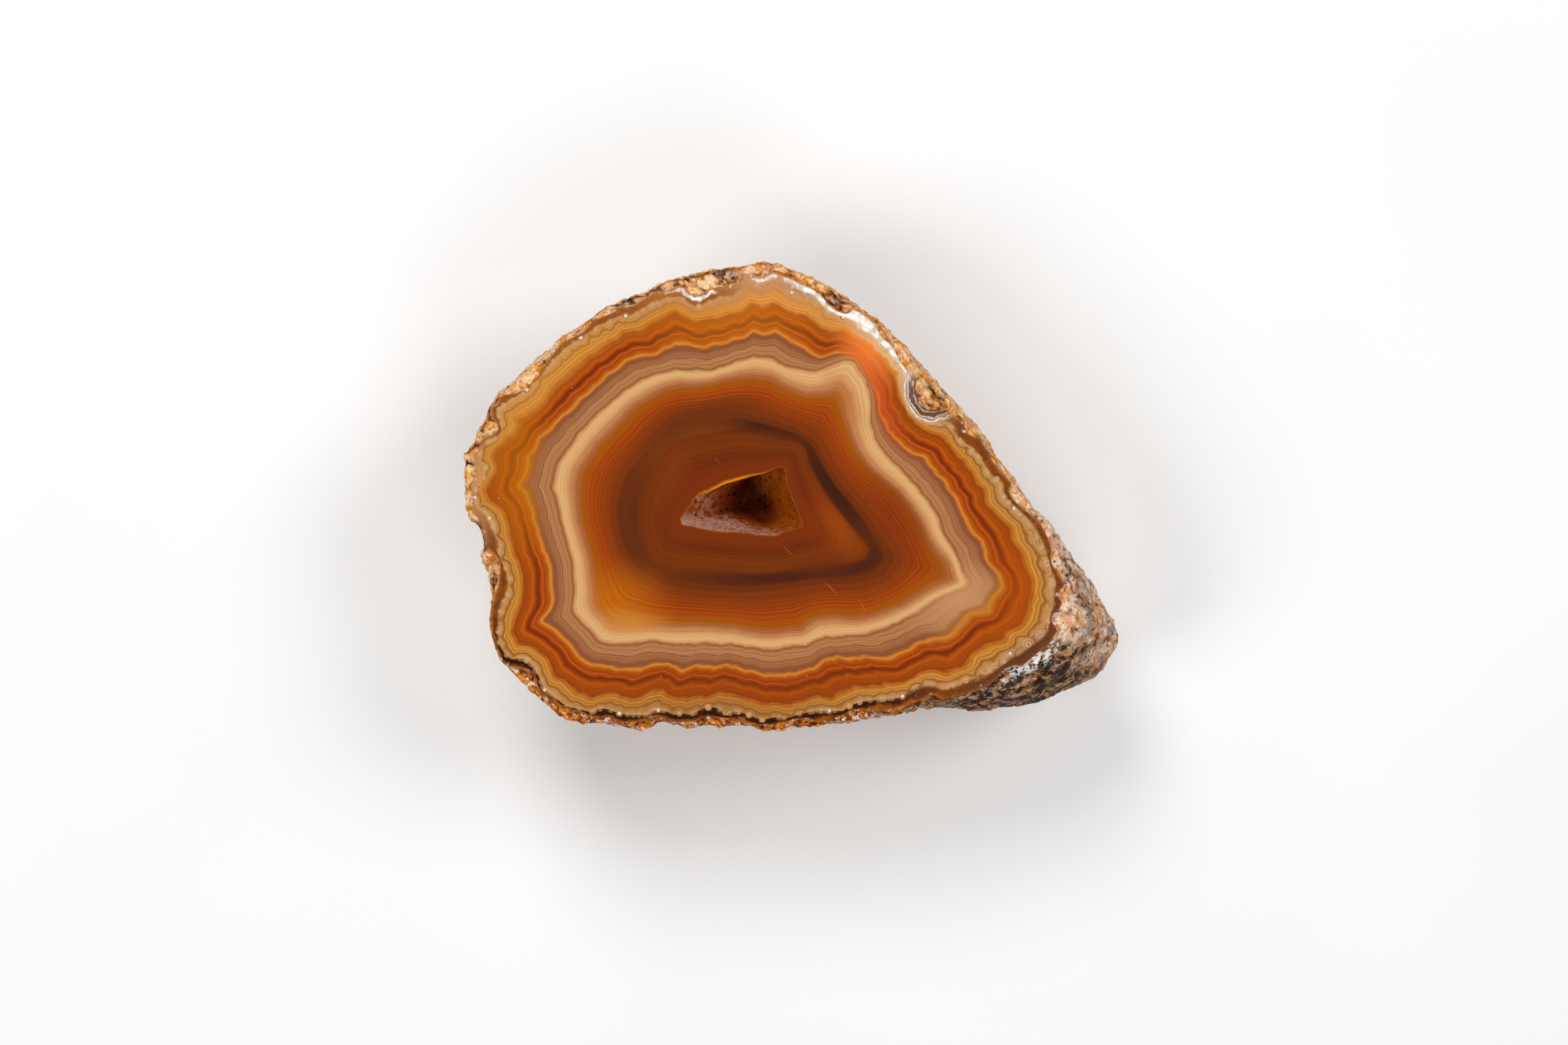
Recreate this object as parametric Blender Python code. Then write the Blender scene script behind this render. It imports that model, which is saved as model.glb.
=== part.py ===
"""A coyamito agate: one half of a sawn nodule that lies on its domed rind with the polished face up.

One object, agate_nodule, in metres. +Z is up and square to the polished face, +X runs along the face's
long side, and the origin is on the small flat spot that the stone rests on.

The nodule is a loft: the outline of the sawn face, the flare of the rind below it, and the belly that
curves in to the base. Lumps, knobs and pits are added along the surface's normals. Three cuts follow:
the saw cut that makes the face, the ground spot at the base, and the hollow in the middle of the face.
"""

import math

import bmesh
import bpy
from mathutils import Vector, noise

MM = 0.001

# Driving dimensions, in millimetres
FACE_HEIGHT = 30.0  # from the table to the polished face
KERF = 4.0  # how far the uncut nodule is drawn above the saw cut
BASE_SINK = 0.7  # how much of the dome the flat spot takes off
BELLY_CENTRE = (-2.4, -2.6)  # plan position of the dome's lowest point
BELLY_FULLNESS = 2.1  # exponent of the belly's curve: 2 is an ellipse, more is boxier

# Where the saw cut leaves the rind: plan positions in mm, clockwise from the left end, seen from above
FACE_EDGE = (
    (-42.4, 2.0), (-42.3, 3.7), (-42.4, 5.4), (-41.0, 6.9), (-40.7, 8.4), (-39.5, 9.8),
    (-39.8, 11.0), (-38.6, 12.3), (-37.4, 13.5), (-35.9, 14.4), (-35.1, 15.8), (-33.6, 16.5),
    (-32.4, 17.7), (-30.6, 19.2), (-30.0, 20.4), (-28.1, 21.0), (-26.9, 22.4), (-25.7, 23.0),
    (-24.6, 24.2), (-22.8, 24.8), (-21.4, 25.7), (-19.5, 26.1), (-18.2, 27.2), (-15.6, 27.9),
    (-12.9, 28.5), (-10.9, 29.1), (-8.9, 29.4), (-6.9, 29.8), (-4.4, 30.1), (-2.4, 29.7),
    (-0.4, 29.0), (2.1, 27.9), (4.4, 26.6), (6.6, 25.1), (9.1, 23.5), (11.1, 21.6),
    (12.9, 19.4), (14.6, 17.6), (16.4, 15.5), (18.1, 13.6), (19.9, 11.7), (21.4, 10.0),
    (22.9, 7.9), (24.1, 6.2), (25.6, 4.2), (27.3, 2.0), (28.9, 0.0), (30.1, -2.0),
    (31.7, -3.8), (32.7, -6.0), (33.6, -8.3), (34.1, -10.8), (34.4, -13.3), (34.0, -15.8),
    (33.5, -18.0), (31.9, -20.0), (29.6, -21.7), (27.2, -23.1), (24.8, -24.4), (22.1, -25.3),
    (19.1, -26.0), (16.1, -26.7), (14.1, -27.8), (10.6, -28.3), (8.1, -28.5), (4.6, -29.2),
    (1.6, -29.7), (-0.9, -29.8), (-4.2, -30.0), (-6.9, -29.2), (-9.4, -29.6), (-11.4, -29.3),
    (-13.2, -29.7), (-14.9, -29.4), (-16.9, -28.9), (-19.4, -30.0), (-21.9, -29.7), (-24.6, -28.5),
    (-26.6, -29.6), (-28.9, -28.9), (-30.9, -27.4), (-32.6, -26.1), (-34.6, -24.6), (-36.4, -22.6),
    (-37.8, -21.3), (-38.6, -18.8), (-39.4, -16.8), (-39.4, -14.8), (-38.8, -12.8), (-38.9, -11.0),
    (-39.2, -9.0), (-40.1, -7.0), (-40.5, -5.0), (-41.5, -3.0), (-41.8, -1.3),
)
EDGE_DETAIL_DEPTH = 5.0  # the outline's small wiggles fade out this far below the face
SMOOTHING = 16  # spokes on each side that the outline below the face is averaged over

# The rind flares out below the face, most at the lower right shoulder:
# compass bearing from the middle in degrees, flare in mm, depth of the widest point below the face in mm
FLARES = (
    (-180, 0.2, 2.5),
    (-90, 0.1, 3.0),
    (-66, 0.3, 4.0),
    (-56, 1.5, 7.0),
    (-47, 4.3, 9.5),
    (-38, 6.8, 11.5),
    (-30, 9.6, 12.5),
    (-24, 10.0, 12.5),
    (-18, 6.0, 10.5),
    (-12, 3.1, 7.5),
    (-5, 2.3, 5.5),
    (1, 0.9, 4.5),
    (10, 0.4, 4.0),
    (30, 0.9, 4.5),
    (50, 1.1, 4.5),
    (70, 0.8, 4.0),
    (90, 0.1, 3.0),
    (140, 0.2, 3.0),
    (180, 0.2, 2.5),
)
SHOULDER_START = math.radians(32)  # how steeply a flare leaves the face

# The hollow: rim corners on the face, then corners of its inner walls as (x, y, depth), in mm
HOLLOW_RIM = (
    (-14.6, -3.1), (-12.9, -1.0), (-11.1, 0.3), (-7.9, 1.9), (-1.3, 3.7),
    (0.9, -4.0), (-2.2, -5.0), (-5.9, -4.8), (-11.4, -4.2), (-14.4, -3.7),
)
HOLLOW_WALLS = (
    (-5.3, 2.4, 9.6),
    (-3.9, 0.3, 9.0),
    (-7.2, -1.2, 8.8),
    (-1.3, -2.6, 5.6),
    (-10.7, -1.7, 5.0),
    (-3.8, -3.3, 6.8),
)
HOLLOW_MOUTH = 1.0  # how far the hollow's cutter stands above the face

# Relief of the rind, in mm: size across, then height
LUMPS = (12.0, 1.5)
KNOBS = (4.4, 0.75)
PITS = (6.5, 1.1)
PIT_SHARE = 0.30  # radius of a pit as a share of the distance between pits
OUTWARD_SHARE = 0.3  # how much of the relief that stands out is kept, so that the outline stays as drawn
KNOB_PLACES = Vector((7.3, 1.9, 4.1))  # where the patterns of knobs and pits start
PIT_PLACES = Vector((2.7, 8.8, 5.5))
CALM_DEPTH = 3.0  # relief grows from nothing to its full height this far from the face and the base

SPOKES = 400
RINGS = 52
CURVE_STEPS = 14
TRIANGLES = 7200
CUTTER_SIDE = 120.0
CUTTER_REACH = 20.0

STONE_COLOUR = (0.46, 0.27, 0.13, 1.0)
STONE_ROUGHNESS = 0.45


def closed_curve(points, count):
    """count points, evenly spaced, on the closed smooth curve through the given points."""
    fine = []
    total = len(points)
    for i in range(total):
        before, start, end, after = (Vector(points[(i + k) % total]) for k in (-1, 0, 1, 2))
        for s in range(CURVE_STEPS):
            t = s / CURVE_STEPS
            fine.append(
                0.5 * (
                    2 * start
                    + (end - before) * t
                    + (2 * before - 5 * start + 4 * end - after) * t ** 2
                    + (3 * start - before - 3 * end + after) * t ** 3
                )
            )
    return evenly_spaced(fine + fine[:1], count, closed=True)


def evenly_spaced(line, count, closed=False):
    """count points at equal distances along a polyline."""
    reach = [0.0]
    for a, b in zip(line, line[1:]):
        reach.append(reach[-1] + (b - a).length)
    gaps = count if closed else count - 1
    spaced = []
    leg = 0
    for i in range(count):
        along = reach[-1] * i / gaps
        while leg < len(line) - 2 and reach[leg + 1] < along:
            leg += 1
        span = reach[leg + 1] - reach[leg]
        spaced.append(line[leg].lerp(line[leg + 1], (along - reach[leg]) / max(span, 1e-9)))
    return spaced


def smoothed(points):
    """The closed outline with each point averaged over its neighbours."""
    total = len(points)
    window = range(-SMOOTHING, SMOOTHING + 1)
    return [
        sum((points[(i + k) % total] for k in window), Vector((0, 0))) / len(window)
        for i in range(total)
    ]


def flare_at(bearing):
    """(flare, depth of the widest point) in mm at a bearing in degrees, eased between the listed ones."""
    for (a, flare_a, depth_a), (b, flare_b, depth_b) in zip(FLARES, FLARES[1:]):
        if bearing <= b:
            t = (bearing - a) / (b - a)
            t = t * t * (3 - 2 * t)
            return flare_a + (flare_b - flare_a) * t, depth_a + (depth_b - depth_a) * t
    return FLARES[-1][1:]


def shoulder(edge, smooth_edge, flare, widest_depth):
    """Points in mm from the face's edge down the rind to its widest point."""
    outward = smooth_edge.normalized()
    points = []
    for i in range(CURVE_STEPS + 1):
        angle = SHOULDER_START + (math.pi / 2 - SHOULDER_START) * i / CURVE_STEPS
        out = flare * (math.sin(angle) - math.sin(SHOULDER_START)) / (1 - math.sin(SHOULDER_START))
        depth = widest_depth * (1 - math.cos(angle) / math.cos(SHOULDER_START))
        detail = max(0.0, 1 - depth / EDGE_DETAIL_DEPTH)
        plan = smooth_edge.lerp(edge, detail) + outward * out
        points.append(Vector((*plan, FACE_HEIGHT - depth)))
    return points


def belly(widest):
    """Points in mm from the rind's widest point to the dome's lowest point."""
    lowest = Vector(BELLY_CENTRE)
    power = 2 / BELLY_FULLNESS
    height = widest.z + BASE_SINK
    points = []
    for i in range(1, CURVE_STEPS + 1):
        angle = math.pi / 2 * i / CURVE_STEPS
        plan = lowest.lerp(widest.xy, math.cos(angle) ** power)
        points.append(Vector((*plan, widest.z - height * math.sin(angle) ** power)))
    return points


def relief(point):
    """Height in mm of the rind's lumps, knobs and pits at a point in mm."""
    lumps = LUMPS[1] * noise.fractal(point / LUMPS[0], 1.0, 2.1, 3)
    knob = noise.voronoi(point / KNOBS[0] + KNOB_PLACES)[0][0]
    knobs = KNOBS[1] * (0.5 - min(knob, 1.0) ** 2)
    pit = noise.voronoi(point / PITS[0] + PIT_PLACES)[0][0] / PIT_SHARE
    pits = -PITS[1] * max(0.0, 1.0 - pit * pit)
    height = lumps + knobs + pits
    return height * OUTWARD_SHARE if height > 0 else height


def calm(height):
    """Share of the relief left at a height in mm: none at the face and at the base."""
    below_face = (FACE_HEIGHT - height) / CALM_DEPTH
    above_base = (height + BASE_SINK) / CALM_DEPTH
    return min(1.0, max(0.0, below_face), max(0.0, above_base))


def uncut_nodule():
    """The closed mesh of the nodule before it is sawn, with its rind's relief, in metres."""
    mesh = bmesh.new()
    edges = closed_curve(FACE_EDGE, SPOKES)
    columns = []
    for edge, smooth_edge in zip(edges, smoothed(edges)):
        bearing = math.degrees(math.atan2(smooth_edge.y, smooth_edge.x))
        wall = shoulder(edge, smooth_edge, *flare_at(bearing))
        wall = evenly_spaced(wall + belly(wall[-1]), RINGS)
        rise = wall[0] - wall[1]
        top = wall[0] + rise * KERF / rise.z
        columns.append([top] + wall[1:-1])
    rings = [[mesh.verts.new(point) for point in ring] for ring in zip(*columns)]
    lowest = mesh.verts.new((*BELLY_CENTRE, -BASE_SINK))
    for i in range(SPOKES):
        j = (i + 1) % SPOKES
        for upper, lower in zip(rings, rings[1:]):
            mesh.faces.new((upper[i], upper[j], lower[j], lower[i]))
        mesh.faces.new((rings[-1][i], rings[-1][j], lowest))
    mesh.faces.new(reversed(rings[0]))
    bmesh.ops.recalc_face_normals(mesh, faces=mesh.faces)
    mesh.normal_update()
    moves = [vert.normal * relief(vert.co) * calm(vert.co.z) for vert in mesh.verts]
    for vert, move in zip(mesh.verts, moves):
        vert.co += move
    bmesh.ops.scale(mesh, vec=(MM, MM, MM), verts=mesh.verts)
    return mesh


def new_object(name, mesh, collection):
    """An object in the collection that holds a bmesh, which is freed."""
    data = bpy.data.meshes.new(name)
    mesh.to_mesh(data)
    mesh.free()
    made = bpy.data.objects.new(name, data)
    collection.objects.link(made)
    return made


def as_cutter(made):
    """Marks an object as a helper that isn't part of the stone."""
    made.hide_render = True
    made.display_type = "WIRE"
    return made


def block_cutter(name, low, high, collection):
    """A wide block whose lower and upper faces are at the heights low and high, in mm."""
    block = bmesh.new()
    bmesh.ops.create_cube(block, size=1.0)
    bmesh.ops.scale(block, vec=(CUTTER_SIDE * MM, CUTTER_SIDE * MM, (high - low) * MM), verts=block.verts)
    bmesh.ops.translate(block, vec=(0, 0, (high + low) / 2 * MM), verts=block.verts)
    return as_cutter(new_object(name, block, collection))


def hollow_cutter(collection):
    """The void in the middle of the face: flat walls between its rim and its inner corners."""
    void = bmesh.new()
    for x, y in HOLLOW_RIM:
        void.verts.new(Vector((x, y, FACE_HEIGHT)) * MM)
        void.verts.new(Vector((x, y, FACE_HEIGHT + HOLLOW_MOUTH)) * MM)
    for x, y, depth in HOLLOW_WALLS:
        void.verts.new(Vector((x, y, FACE_HEIGHT - depth)) * MM)
    hull = bmesh.ops.convex_hull(void, input=void.verts)
    unused = [v for v in hull["geom_interior"] if isinstance(v, bmesh.types.BMVert)]
    bmesh.ops.delete(void, geom=unused, context="VERTS")
    bmesh.ops.recalc_face_normals(void, faces=void.faces)
    return as_cutter(new_object("hollow_cutter", void, collection))


def stone_material():
    material = bpy.data.materials.new("agate")
    material.use_nodes = True
    shader = material.node_tree.nodes["Principled BSDF"]
    shader.inputs["Base Color"].default_value = STONE_COLOUR
    shader.inputs["Roughness"].default_value = STONE_ROUGHNESS
    shader.inputs["Metallic"].default_value = 0.0
    return material


def cut(stone, cutter):
    modifier = stone.modifiers.new(cutter.name, "BOOLEAN")
    modifier.operation = "DIFFERENCE"
    modifier.solver = "EXACT"
    modifier.object = cutter


def build():
    for old in list(bpy.data.objects):
        bpy.data.objects.remove(old)
    stones = bpy.data.collections.new("coyamito_agate")
    cutters = bpy.data.collections.new("cutters")
    for collection in (stones, cutters):
        bpy.context.scene.collection.children.link(collection)

    stone = new_object("agate_nodule", uncut_nodule(), stones)
    stone.data.materials.append(stone_material())
    fewer = stone.modifiers.new("fewer_faces", "DECIMATE")
    fewer.ratio = TRIANGLES / (2 * SPOKES * RINGS)
    cut(stone, block_cutter("saw_cutter", FACE_HEIGHT, FACE_HEIGHT + CUTTER_REACH, cutters))
    cut(stone, block_cutter("base_cutter", -CUTTER_REACH, 0, cutters))
    cut(stone, hollow_cutter(cutters))


build()
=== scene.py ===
"""Looks of the coyamito agate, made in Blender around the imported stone.

The stone is one closed mesh: the polished face with its growth lines, the small hollow in its middle and the
rough rind around and below. Lengths are in millimetres until the mesh is made. X runs to the right of the face
as the photograph shows it, Y up the photograph, and Z up from the flat spot that the stone rests on.
"""
import math

import bpy
import numpy as np
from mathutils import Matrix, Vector, kdtree, noise
from mathutils.bvhtree import BVHTree
from mathutils.geometry import delaunay_2d_cdt


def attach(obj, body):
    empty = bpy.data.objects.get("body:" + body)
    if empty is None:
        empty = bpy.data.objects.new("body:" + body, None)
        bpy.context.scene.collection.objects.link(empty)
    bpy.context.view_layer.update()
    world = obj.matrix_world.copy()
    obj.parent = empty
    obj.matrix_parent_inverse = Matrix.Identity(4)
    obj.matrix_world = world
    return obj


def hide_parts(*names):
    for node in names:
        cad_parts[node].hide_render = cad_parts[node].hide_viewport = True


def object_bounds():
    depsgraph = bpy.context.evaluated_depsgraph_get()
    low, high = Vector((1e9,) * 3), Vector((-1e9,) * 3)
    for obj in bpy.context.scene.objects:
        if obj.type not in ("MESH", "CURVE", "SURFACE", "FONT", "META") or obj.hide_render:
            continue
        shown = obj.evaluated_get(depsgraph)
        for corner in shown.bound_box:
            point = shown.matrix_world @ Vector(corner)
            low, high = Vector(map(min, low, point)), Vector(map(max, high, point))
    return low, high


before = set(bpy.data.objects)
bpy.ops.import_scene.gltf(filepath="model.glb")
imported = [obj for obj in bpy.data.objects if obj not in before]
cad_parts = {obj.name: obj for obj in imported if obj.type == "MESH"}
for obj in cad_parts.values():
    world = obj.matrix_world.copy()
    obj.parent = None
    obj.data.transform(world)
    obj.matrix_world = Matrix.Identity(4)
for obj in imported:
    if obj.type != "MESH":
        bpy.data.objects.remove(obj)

MM = 0.001
CAD_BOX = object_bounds()
FACE_HEIGHT = CAD_BOX[1].z / MM

# Growth lines of the agate on the polished face, from the outside in, read off the photograph.
POLISHED_EDGE = (
    (-37.8, 11.6), (-37.4, 12.7), (-34.6, 13.4), (-29.8, 19.2), (-26.4, 21.3), (-25.9, 22.2), (-23.1, 23.4),
    (-22.4, 24.0), (-20.9, 24.1), (-18.2, 25.7), (-16.9, 25.8), (-15.2, 26.6), (-14.2, 26.5), (-13.6, 25.8),
    (-12.4, 25.4), (-9.8, 26.6), (-7.9, 26.7), (-6.2, 27.9), (-3.9, 28.0), (-2.9, 28.5), (-1.4, 28.0),
    (3.1, 25.7), (4.6, 24.0), (6.6, 23.2), (7.4, 23.7), (8.6, 23.2), (10.1, 21.8), (11.1, 20.2),
    (12.6, 18.9), (12.9, 18.0), (15.3, 14.4), (14.9, 13.7), (15.3, 12.7), (17.8, 10.4), (19.3, 10.9),
    (19.8, 10.2), (21.4, 9.5), (22.2, 7.8), (23.6, 7.2), (25.8, 3.5), (27.3, 1.9), (27.6, 1.4), (27.3, 0.7),
    (27.6, -0.2), (31.1, -3.5), (32.6, -6.5), (32.7, -8.5), (34.4, -11.3), (33.6, -12.8), (34.0, -13.6),
    (33.7, -14.6), (32.9, -15.1), (32.7, -15.8), (33.0, -16.6), (33.6, -17.0), (32.1, -19.3), (31.1, -20.0),
    (28.9, -21.8), (28.1, -21.6), (26.9, -22.1), (24.8, -24.1), (20.8, -25.6), (18.6, -26.0), (17.9, -25.5),
    (17.1, -25.4), (16.4, -25.9), (13.4, -26.9), (11.1, -27.3), (7.8, -27.3), (4.6, -28.5), (2.6, -28.7),
    (1.6, -28.4), (-3.6, -29.2), (-10.4, -28.2), (-11.4, -28.2), (-13.0, -28.8), (-15.9, -28.8),
    (-17.4, -28.2), (-18.2, -28.2), (-19.4, -28.8), (-21.9, -28.8), (-23.6, -28.2), (-25.4, -28.2),
    (-29.2, -27.1), (-31.6, -25.8), (-32.6, -24.8), (-33.4, -22.8), (-34.0, -22.2), (-36.4, -21.8),
    (-37.1, -21.3), (-38.2, -19.0), (-38.7, -16.3), (-38.4, -13.3), (-37.8, -11.3), (-37.8, -8.0),
    (-39.4, -6.5), (-39.4, -4.8), (-39.9, -3.6), (-41.2, -2.0), (-41.1, 0.2), (-41.4, 1.2), (-40.6, 2.7),
    (-41.0, 4.7), (-39.4, 7.2), (-38.0, 8.2), (-37.8, 8.9), (-38.6, 10.4), (-38.6, 11.2),
)
ORB_LINE = (
    (-37.8, 11.1), (-34.2, 13.5), (-29.2, 18.8), (-28.2, 19.5), (-22.6, 22.7), (-20.6, 23.1), (-17.6, 24.7),
    (-15.2, 25.3), (-14.2, 25.1), (-12.9, 24.1), (-11.9, 24.2), (-10.2, 25.0), (-8.2, 25.3), (-7.4, 25.7),
    (-6.2, 27.0), (-5.6, 27.2), (-4.2, 26.6), (-2.9, 27.4), (-0.4, 25.9), (2.6, 24.8), (4.1, 23.5),
    (7.1, 22.3), (8.6, 20.8), (9.6, 20.4), (10.6, 19.5), (13.6, 16.2), (14.0, 12.9), (15.3, 10.8),
    (16.3, 9.9), (17.6, 9.3), (19.8, 9.1), (20.6, 7.5), (23.6, 4.7), (24.6, 2.9), (26.3, 1.7), (26.4, 0.4),
    (26.8, -0.4), (29.8, -3.6), (31.3, -6.3), (32.7, -10.1), (32.7, -13.4), (32.3, -16.3), (31.1, -17.6),
    (27.2, -20.4), (26.6, -21.1), (22.8, -23.2), (19.1, -24.6), (16.8, -24.1), (15.8, -24.3), (13.4, -25.8),
    (7.6, -26.6), (6.1, -27.5), (2.6, -27.5), (-1.4, -28.5), (-2.4, -28.3), (-4.2, -28.7), (-6.9, -27.7),
    (-7.9, -27.6), (-8.6, -28.1), (-9.2, -28.0), (-9.6, -27.3), (-10.4, -27.0), (-11.4, -27.1),
    (-13.4, -28.0), (-14.4, -27.8), (-15.4, -28.0), (-17.1, -27.4), (-18.1, -27.5), (-18.8, -28.0),
    (-19.9, -28.0), (-22.4, -27.8), (-24.2, -27.2), (-25.2, -27.3), (-25.9, -27.7), (-29.2, -26.9),
    (-31.9, -24.8), (-33.6, -21.6), (-34.4, -20.9), (-36.1, -20.9), (-36.8, -20.4), (-37.9, -18.8),
    (-37.6, -14.8), (-36.4, -11.3), (-37.1, -9.0), (-37.7, -8.0), (-37.9, -7.3), (-37.7, -6.3),
    (-38.4, -4.3), (-39.4, -2.3), (-40.7, -1.3), (-40.9, 0.4), (-39.4, 3.2), (-40.3, 4.7), (-40.3, 5.4),
    (-39.2, 6.9), (-37.7, 7.7), (-37.4, 8.5), (-37.9, 10.4),
)
ORANGE_OUTER = (
    (-35.9, 9.9), (-33.7, 10.7), (-32.9, 11.3), (-30.7, 14.5), (-24.9, 19.1), (-22.9, 20.1), (-21.9, 21.0),
    (-19.9, 21.4), (-17.2, 22.9), (-15.2, 23.5), (-13.7, 22.8), (-11.7, 22.7), (-8.2, 23.5), (-7.2, 23.9),
    (-5.9, 24.9), (-4.2, 24.7), (-2.9, 25.0), (-0.6, 23.9), (1.3, 23.5), (3.4, 21.6), (6.1, 21.2),
    (9.9, 18.5), (12.4, 15.7), (13.4, 12.6), (14.0, 11.5), (16.6, 8.6), (19.1, 7.6), (20.2, 5.9),
    (21.8, 4.5), (23.5, 1.9), (24.3, 1.1), (24.6, 0.4), (24.5, -0.5), (24.9, -1.3), (26.3, -2.9),
    (27.8, -4.1), (27.8, -5.0), (29.4, -8.0), (30.2, -10.5), (30.4, -11.6), (30.0, -13.6), (30.1, -14.6),
    (29.4, -16.3), (28.8, -17.0), (27.8, -17.4), (27.2, -18.0), (26.9, -18.8), (24.8, -19.2), (22.9, -20.2),
    (22.4, -21.8), (19.4, -23.0), (17.8, -22.5), (16.9, -22.5), (13.3, -24.0), (10.4, -24.6), (9.1, -24.5),
    (4.6, -26.1), (2.6, -25.7), (1.6, -26.1), (-1.4, -26.6), (-4.4, -26.6), (-6.9, -25.8), (-9.9, -25.5),
    (-10.9, -25.8), (-12.9, -25.8), (-13.7, -26.2), (-15.6, -25.9), (-17.1, -25.2), (-18.2, -25.3),
    (-20.1, -26.1), (-21.1, -26.1), (-22.9, -25.5), (-23.9, -25.5), (-25.9, -26.1), (-28.2, -25.3),
    (-29.4, -23.9), (-30.9, -23.0), (-31.6, -21.2), (-32.2, -20.4), (-33.8, -19.2), (-35.4, -19.0),
    (-36.2, -17.4), (-35.9, -15.6), (-35.0, -13.8), (-34.8, -12.8), (-35.4, -8.6), (-36.2, -6.8),
    (-37.1, -2.8), (-37.6, -1.9), (-39.2, -0.8), (-39.9, 0.7), (-39.6, 1.5), (-38.4, 3.0), (-38.4, 3.8),
    (-38.8, 4.7), (-38.6, 5.4), (-36.9, 7.7), (-35.9, 8.2), (-35.6, 9.2),
)
ORANGE_INNER = (
    (-29.4, 10.1), (-28.7, 10.4), (-26.9, 12.4), (-21.9, 16.6), (-20.9, 17.2), (-17.9, 17.9), (-15.3, 19.3),
    (-13.4, 18.8), (-12.2, 18.8), (-6.4, 20.2), (-5.2, 20.8), (-3.4, 20.5), (-2.4, 20.6), (-0.9, 19.9),
    (1.6, 18.0), (2.6, 17.6), (3.6, 17.6), (5.6, 18.0), (7.3, 17.9), (7.9, 17.6), (9.6, 14.5), (10.1, 13.2),
    (10.6, 10.7), (11.7, 8.5), (13.3, 6.5), (15.1, 5.1), (16.1, 4.8), (18.8, 1.9), (20.6, -0.9),
    (21.2, -2.8), (21.8, -3.8), (22.6, -4.9), (23.6, -5.8), (24.7, -8.7), (25.9, -10.6), (26.1, -11.3),
    (25.0, -13.0), (24.5, -14.5), (22.6, -14.9), (21.8, -15.4), (21.2, -16.1), (19.1, -18.0), (16.1, -18.6),
    (14.1, -19.6), (10.1, -20.5), (4.6, -20.7), (1.1, -22.1), (0.1, -22.3), (-1.1, -22.2), (-2.6, -22.7),
    (-4.4, -22.5), (-7.2, -21.8), (-9.4, -21.6), (-12.6, -21.6), (-14.6, -22.1), (-17.4, -21.3),
    (-20.9, -22.1), (-25.7, -21.4), (-27.1, -20.5), (-30.0, -17.1), (-31.9, -15.9), (-31.2, -15.1),
    (-30.8, -14.1), (-30.6, -13.1), (-30.7, -10.8), (-31.4, -7.6), (-32.4, -5.6), (-33.7, -0.8),
    (-34.6, 0.7), (-35.2, 1.1), (-33.9, 2.9), (-33.6, 4.0), (-33.7, 4.9), (-32.4, 7.4), (-30.6, 8.6),
)
CREAM_OUTER = (
    (-24.9, 10.5), (-22.2, 12.8), (-20.2, 14.2), (-15.2, 15.9), (-12.4, 15.7), (-10.9, 15.8), (-5.7, 17.5),
    (-3.9, 17.6), (-1.2, 16.4), (1.1, 15.8), (3.1, 16.0), (6.1, 17.2), (7.6, 17.1), (9.2, 14.4),
    (9.6, 13.2), (9.8, 8.7), (10.6, 6.5), (12.1, 4.5), (14.6, 2.0), (17.6, -2.0), (19.1, -5.5),
    (20.4, -7.4), (21.2, -10.0), (21.8, -11.0), (21.8, -11.6), (18.6, -12.8), (15.6, -14.6), (12.6, -16.3),
    (9.1, -17.3), (6.6, -17.8), (3.6, -18.1), (1.6, -18.8), (-2.2, -19.2), (-2.9, -19.5), (-8.9, -18.8),
    (-11.9, -18.7), (-14.4, -18.9), (-18.4, -18.4), (-21.1, -18.8), (-24.2, -18.6), (-24.9, -18.3),
    (-28.0, -14.8), (-28.1, -13.8), (-27.9, -11.3), (-28.4, -7.6), (-29.4, -4.4), (-30.1, -1.0),
    (-30.8, 0.7), (-29.9, 4.5), (-26.4, 8.9),
)
CREAM_INNER = (
    (-23.2, 9.2), (-21.4, 11.2), (-20.2, 12.1), (-16.4, 14.1), (-14.9, 14.5), (-11.9, 14.5), (-8.2, 15.4),
    (-5.7, 15.7), (-3.4, 15.5), (-2.4, 15.2), (-1.4, 14.5), (1.1, 13.4), (2.6, 13.3), (5.6, 13.8),
    (6.4, 12.7), (7.1, 9.2), (8.1, 6.5), (8.8, 5.2), (10.4, 3.2), (13.3, 0.9), (14.1, 0.0), (16.4, -3.4),
    (17.6, -5.8), (19.9, -8.8), (20.5, -10.8), (19.6, -11.3), (17.6, -12.1), (15.4, -13.4), (11.9, -15.1),
    (8.6, -16.0), (3.1, -16.1), (1.1, -17.4), (-0.4, -17.6), (-4.9, -17.8), (-7.9, -17.2), (-20.4, -16.9),
    (-22.9, -16.7), (-23.9, -16.3), (-25.4, -14.6), (-25.7, -13.6), (-26.6, -7.8), (-27.8, -3.8),
    (-28.3, 0.7), (-27.9, 3.2), (-27.4, 4.2), (-25.1, 7.2),
)
MAUVE_OUTER = (
    (-17.4, 6.2), (-15.4, 8.7), (-7.4, 10.0), (-2.9, 9.0), (-0.4, 8.2), (2.1, 6.7), (5.1, 1.7), (7.6, -1.3),
    (10.1, -4.8), (12.1, -7.8), (11.1, -9.6), (8.6, -10.5), (3.6, -10.8), (-1.4, -11.3), (-5.4, -11.8),
    (-11.4, -11.6), (-16.4, -10.8), (-19.9, -8.3), (-21.4, -5.8), (-22.2, -1.8), (-20.9, 2.2), (-19.4, 4.2),
)
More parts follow.
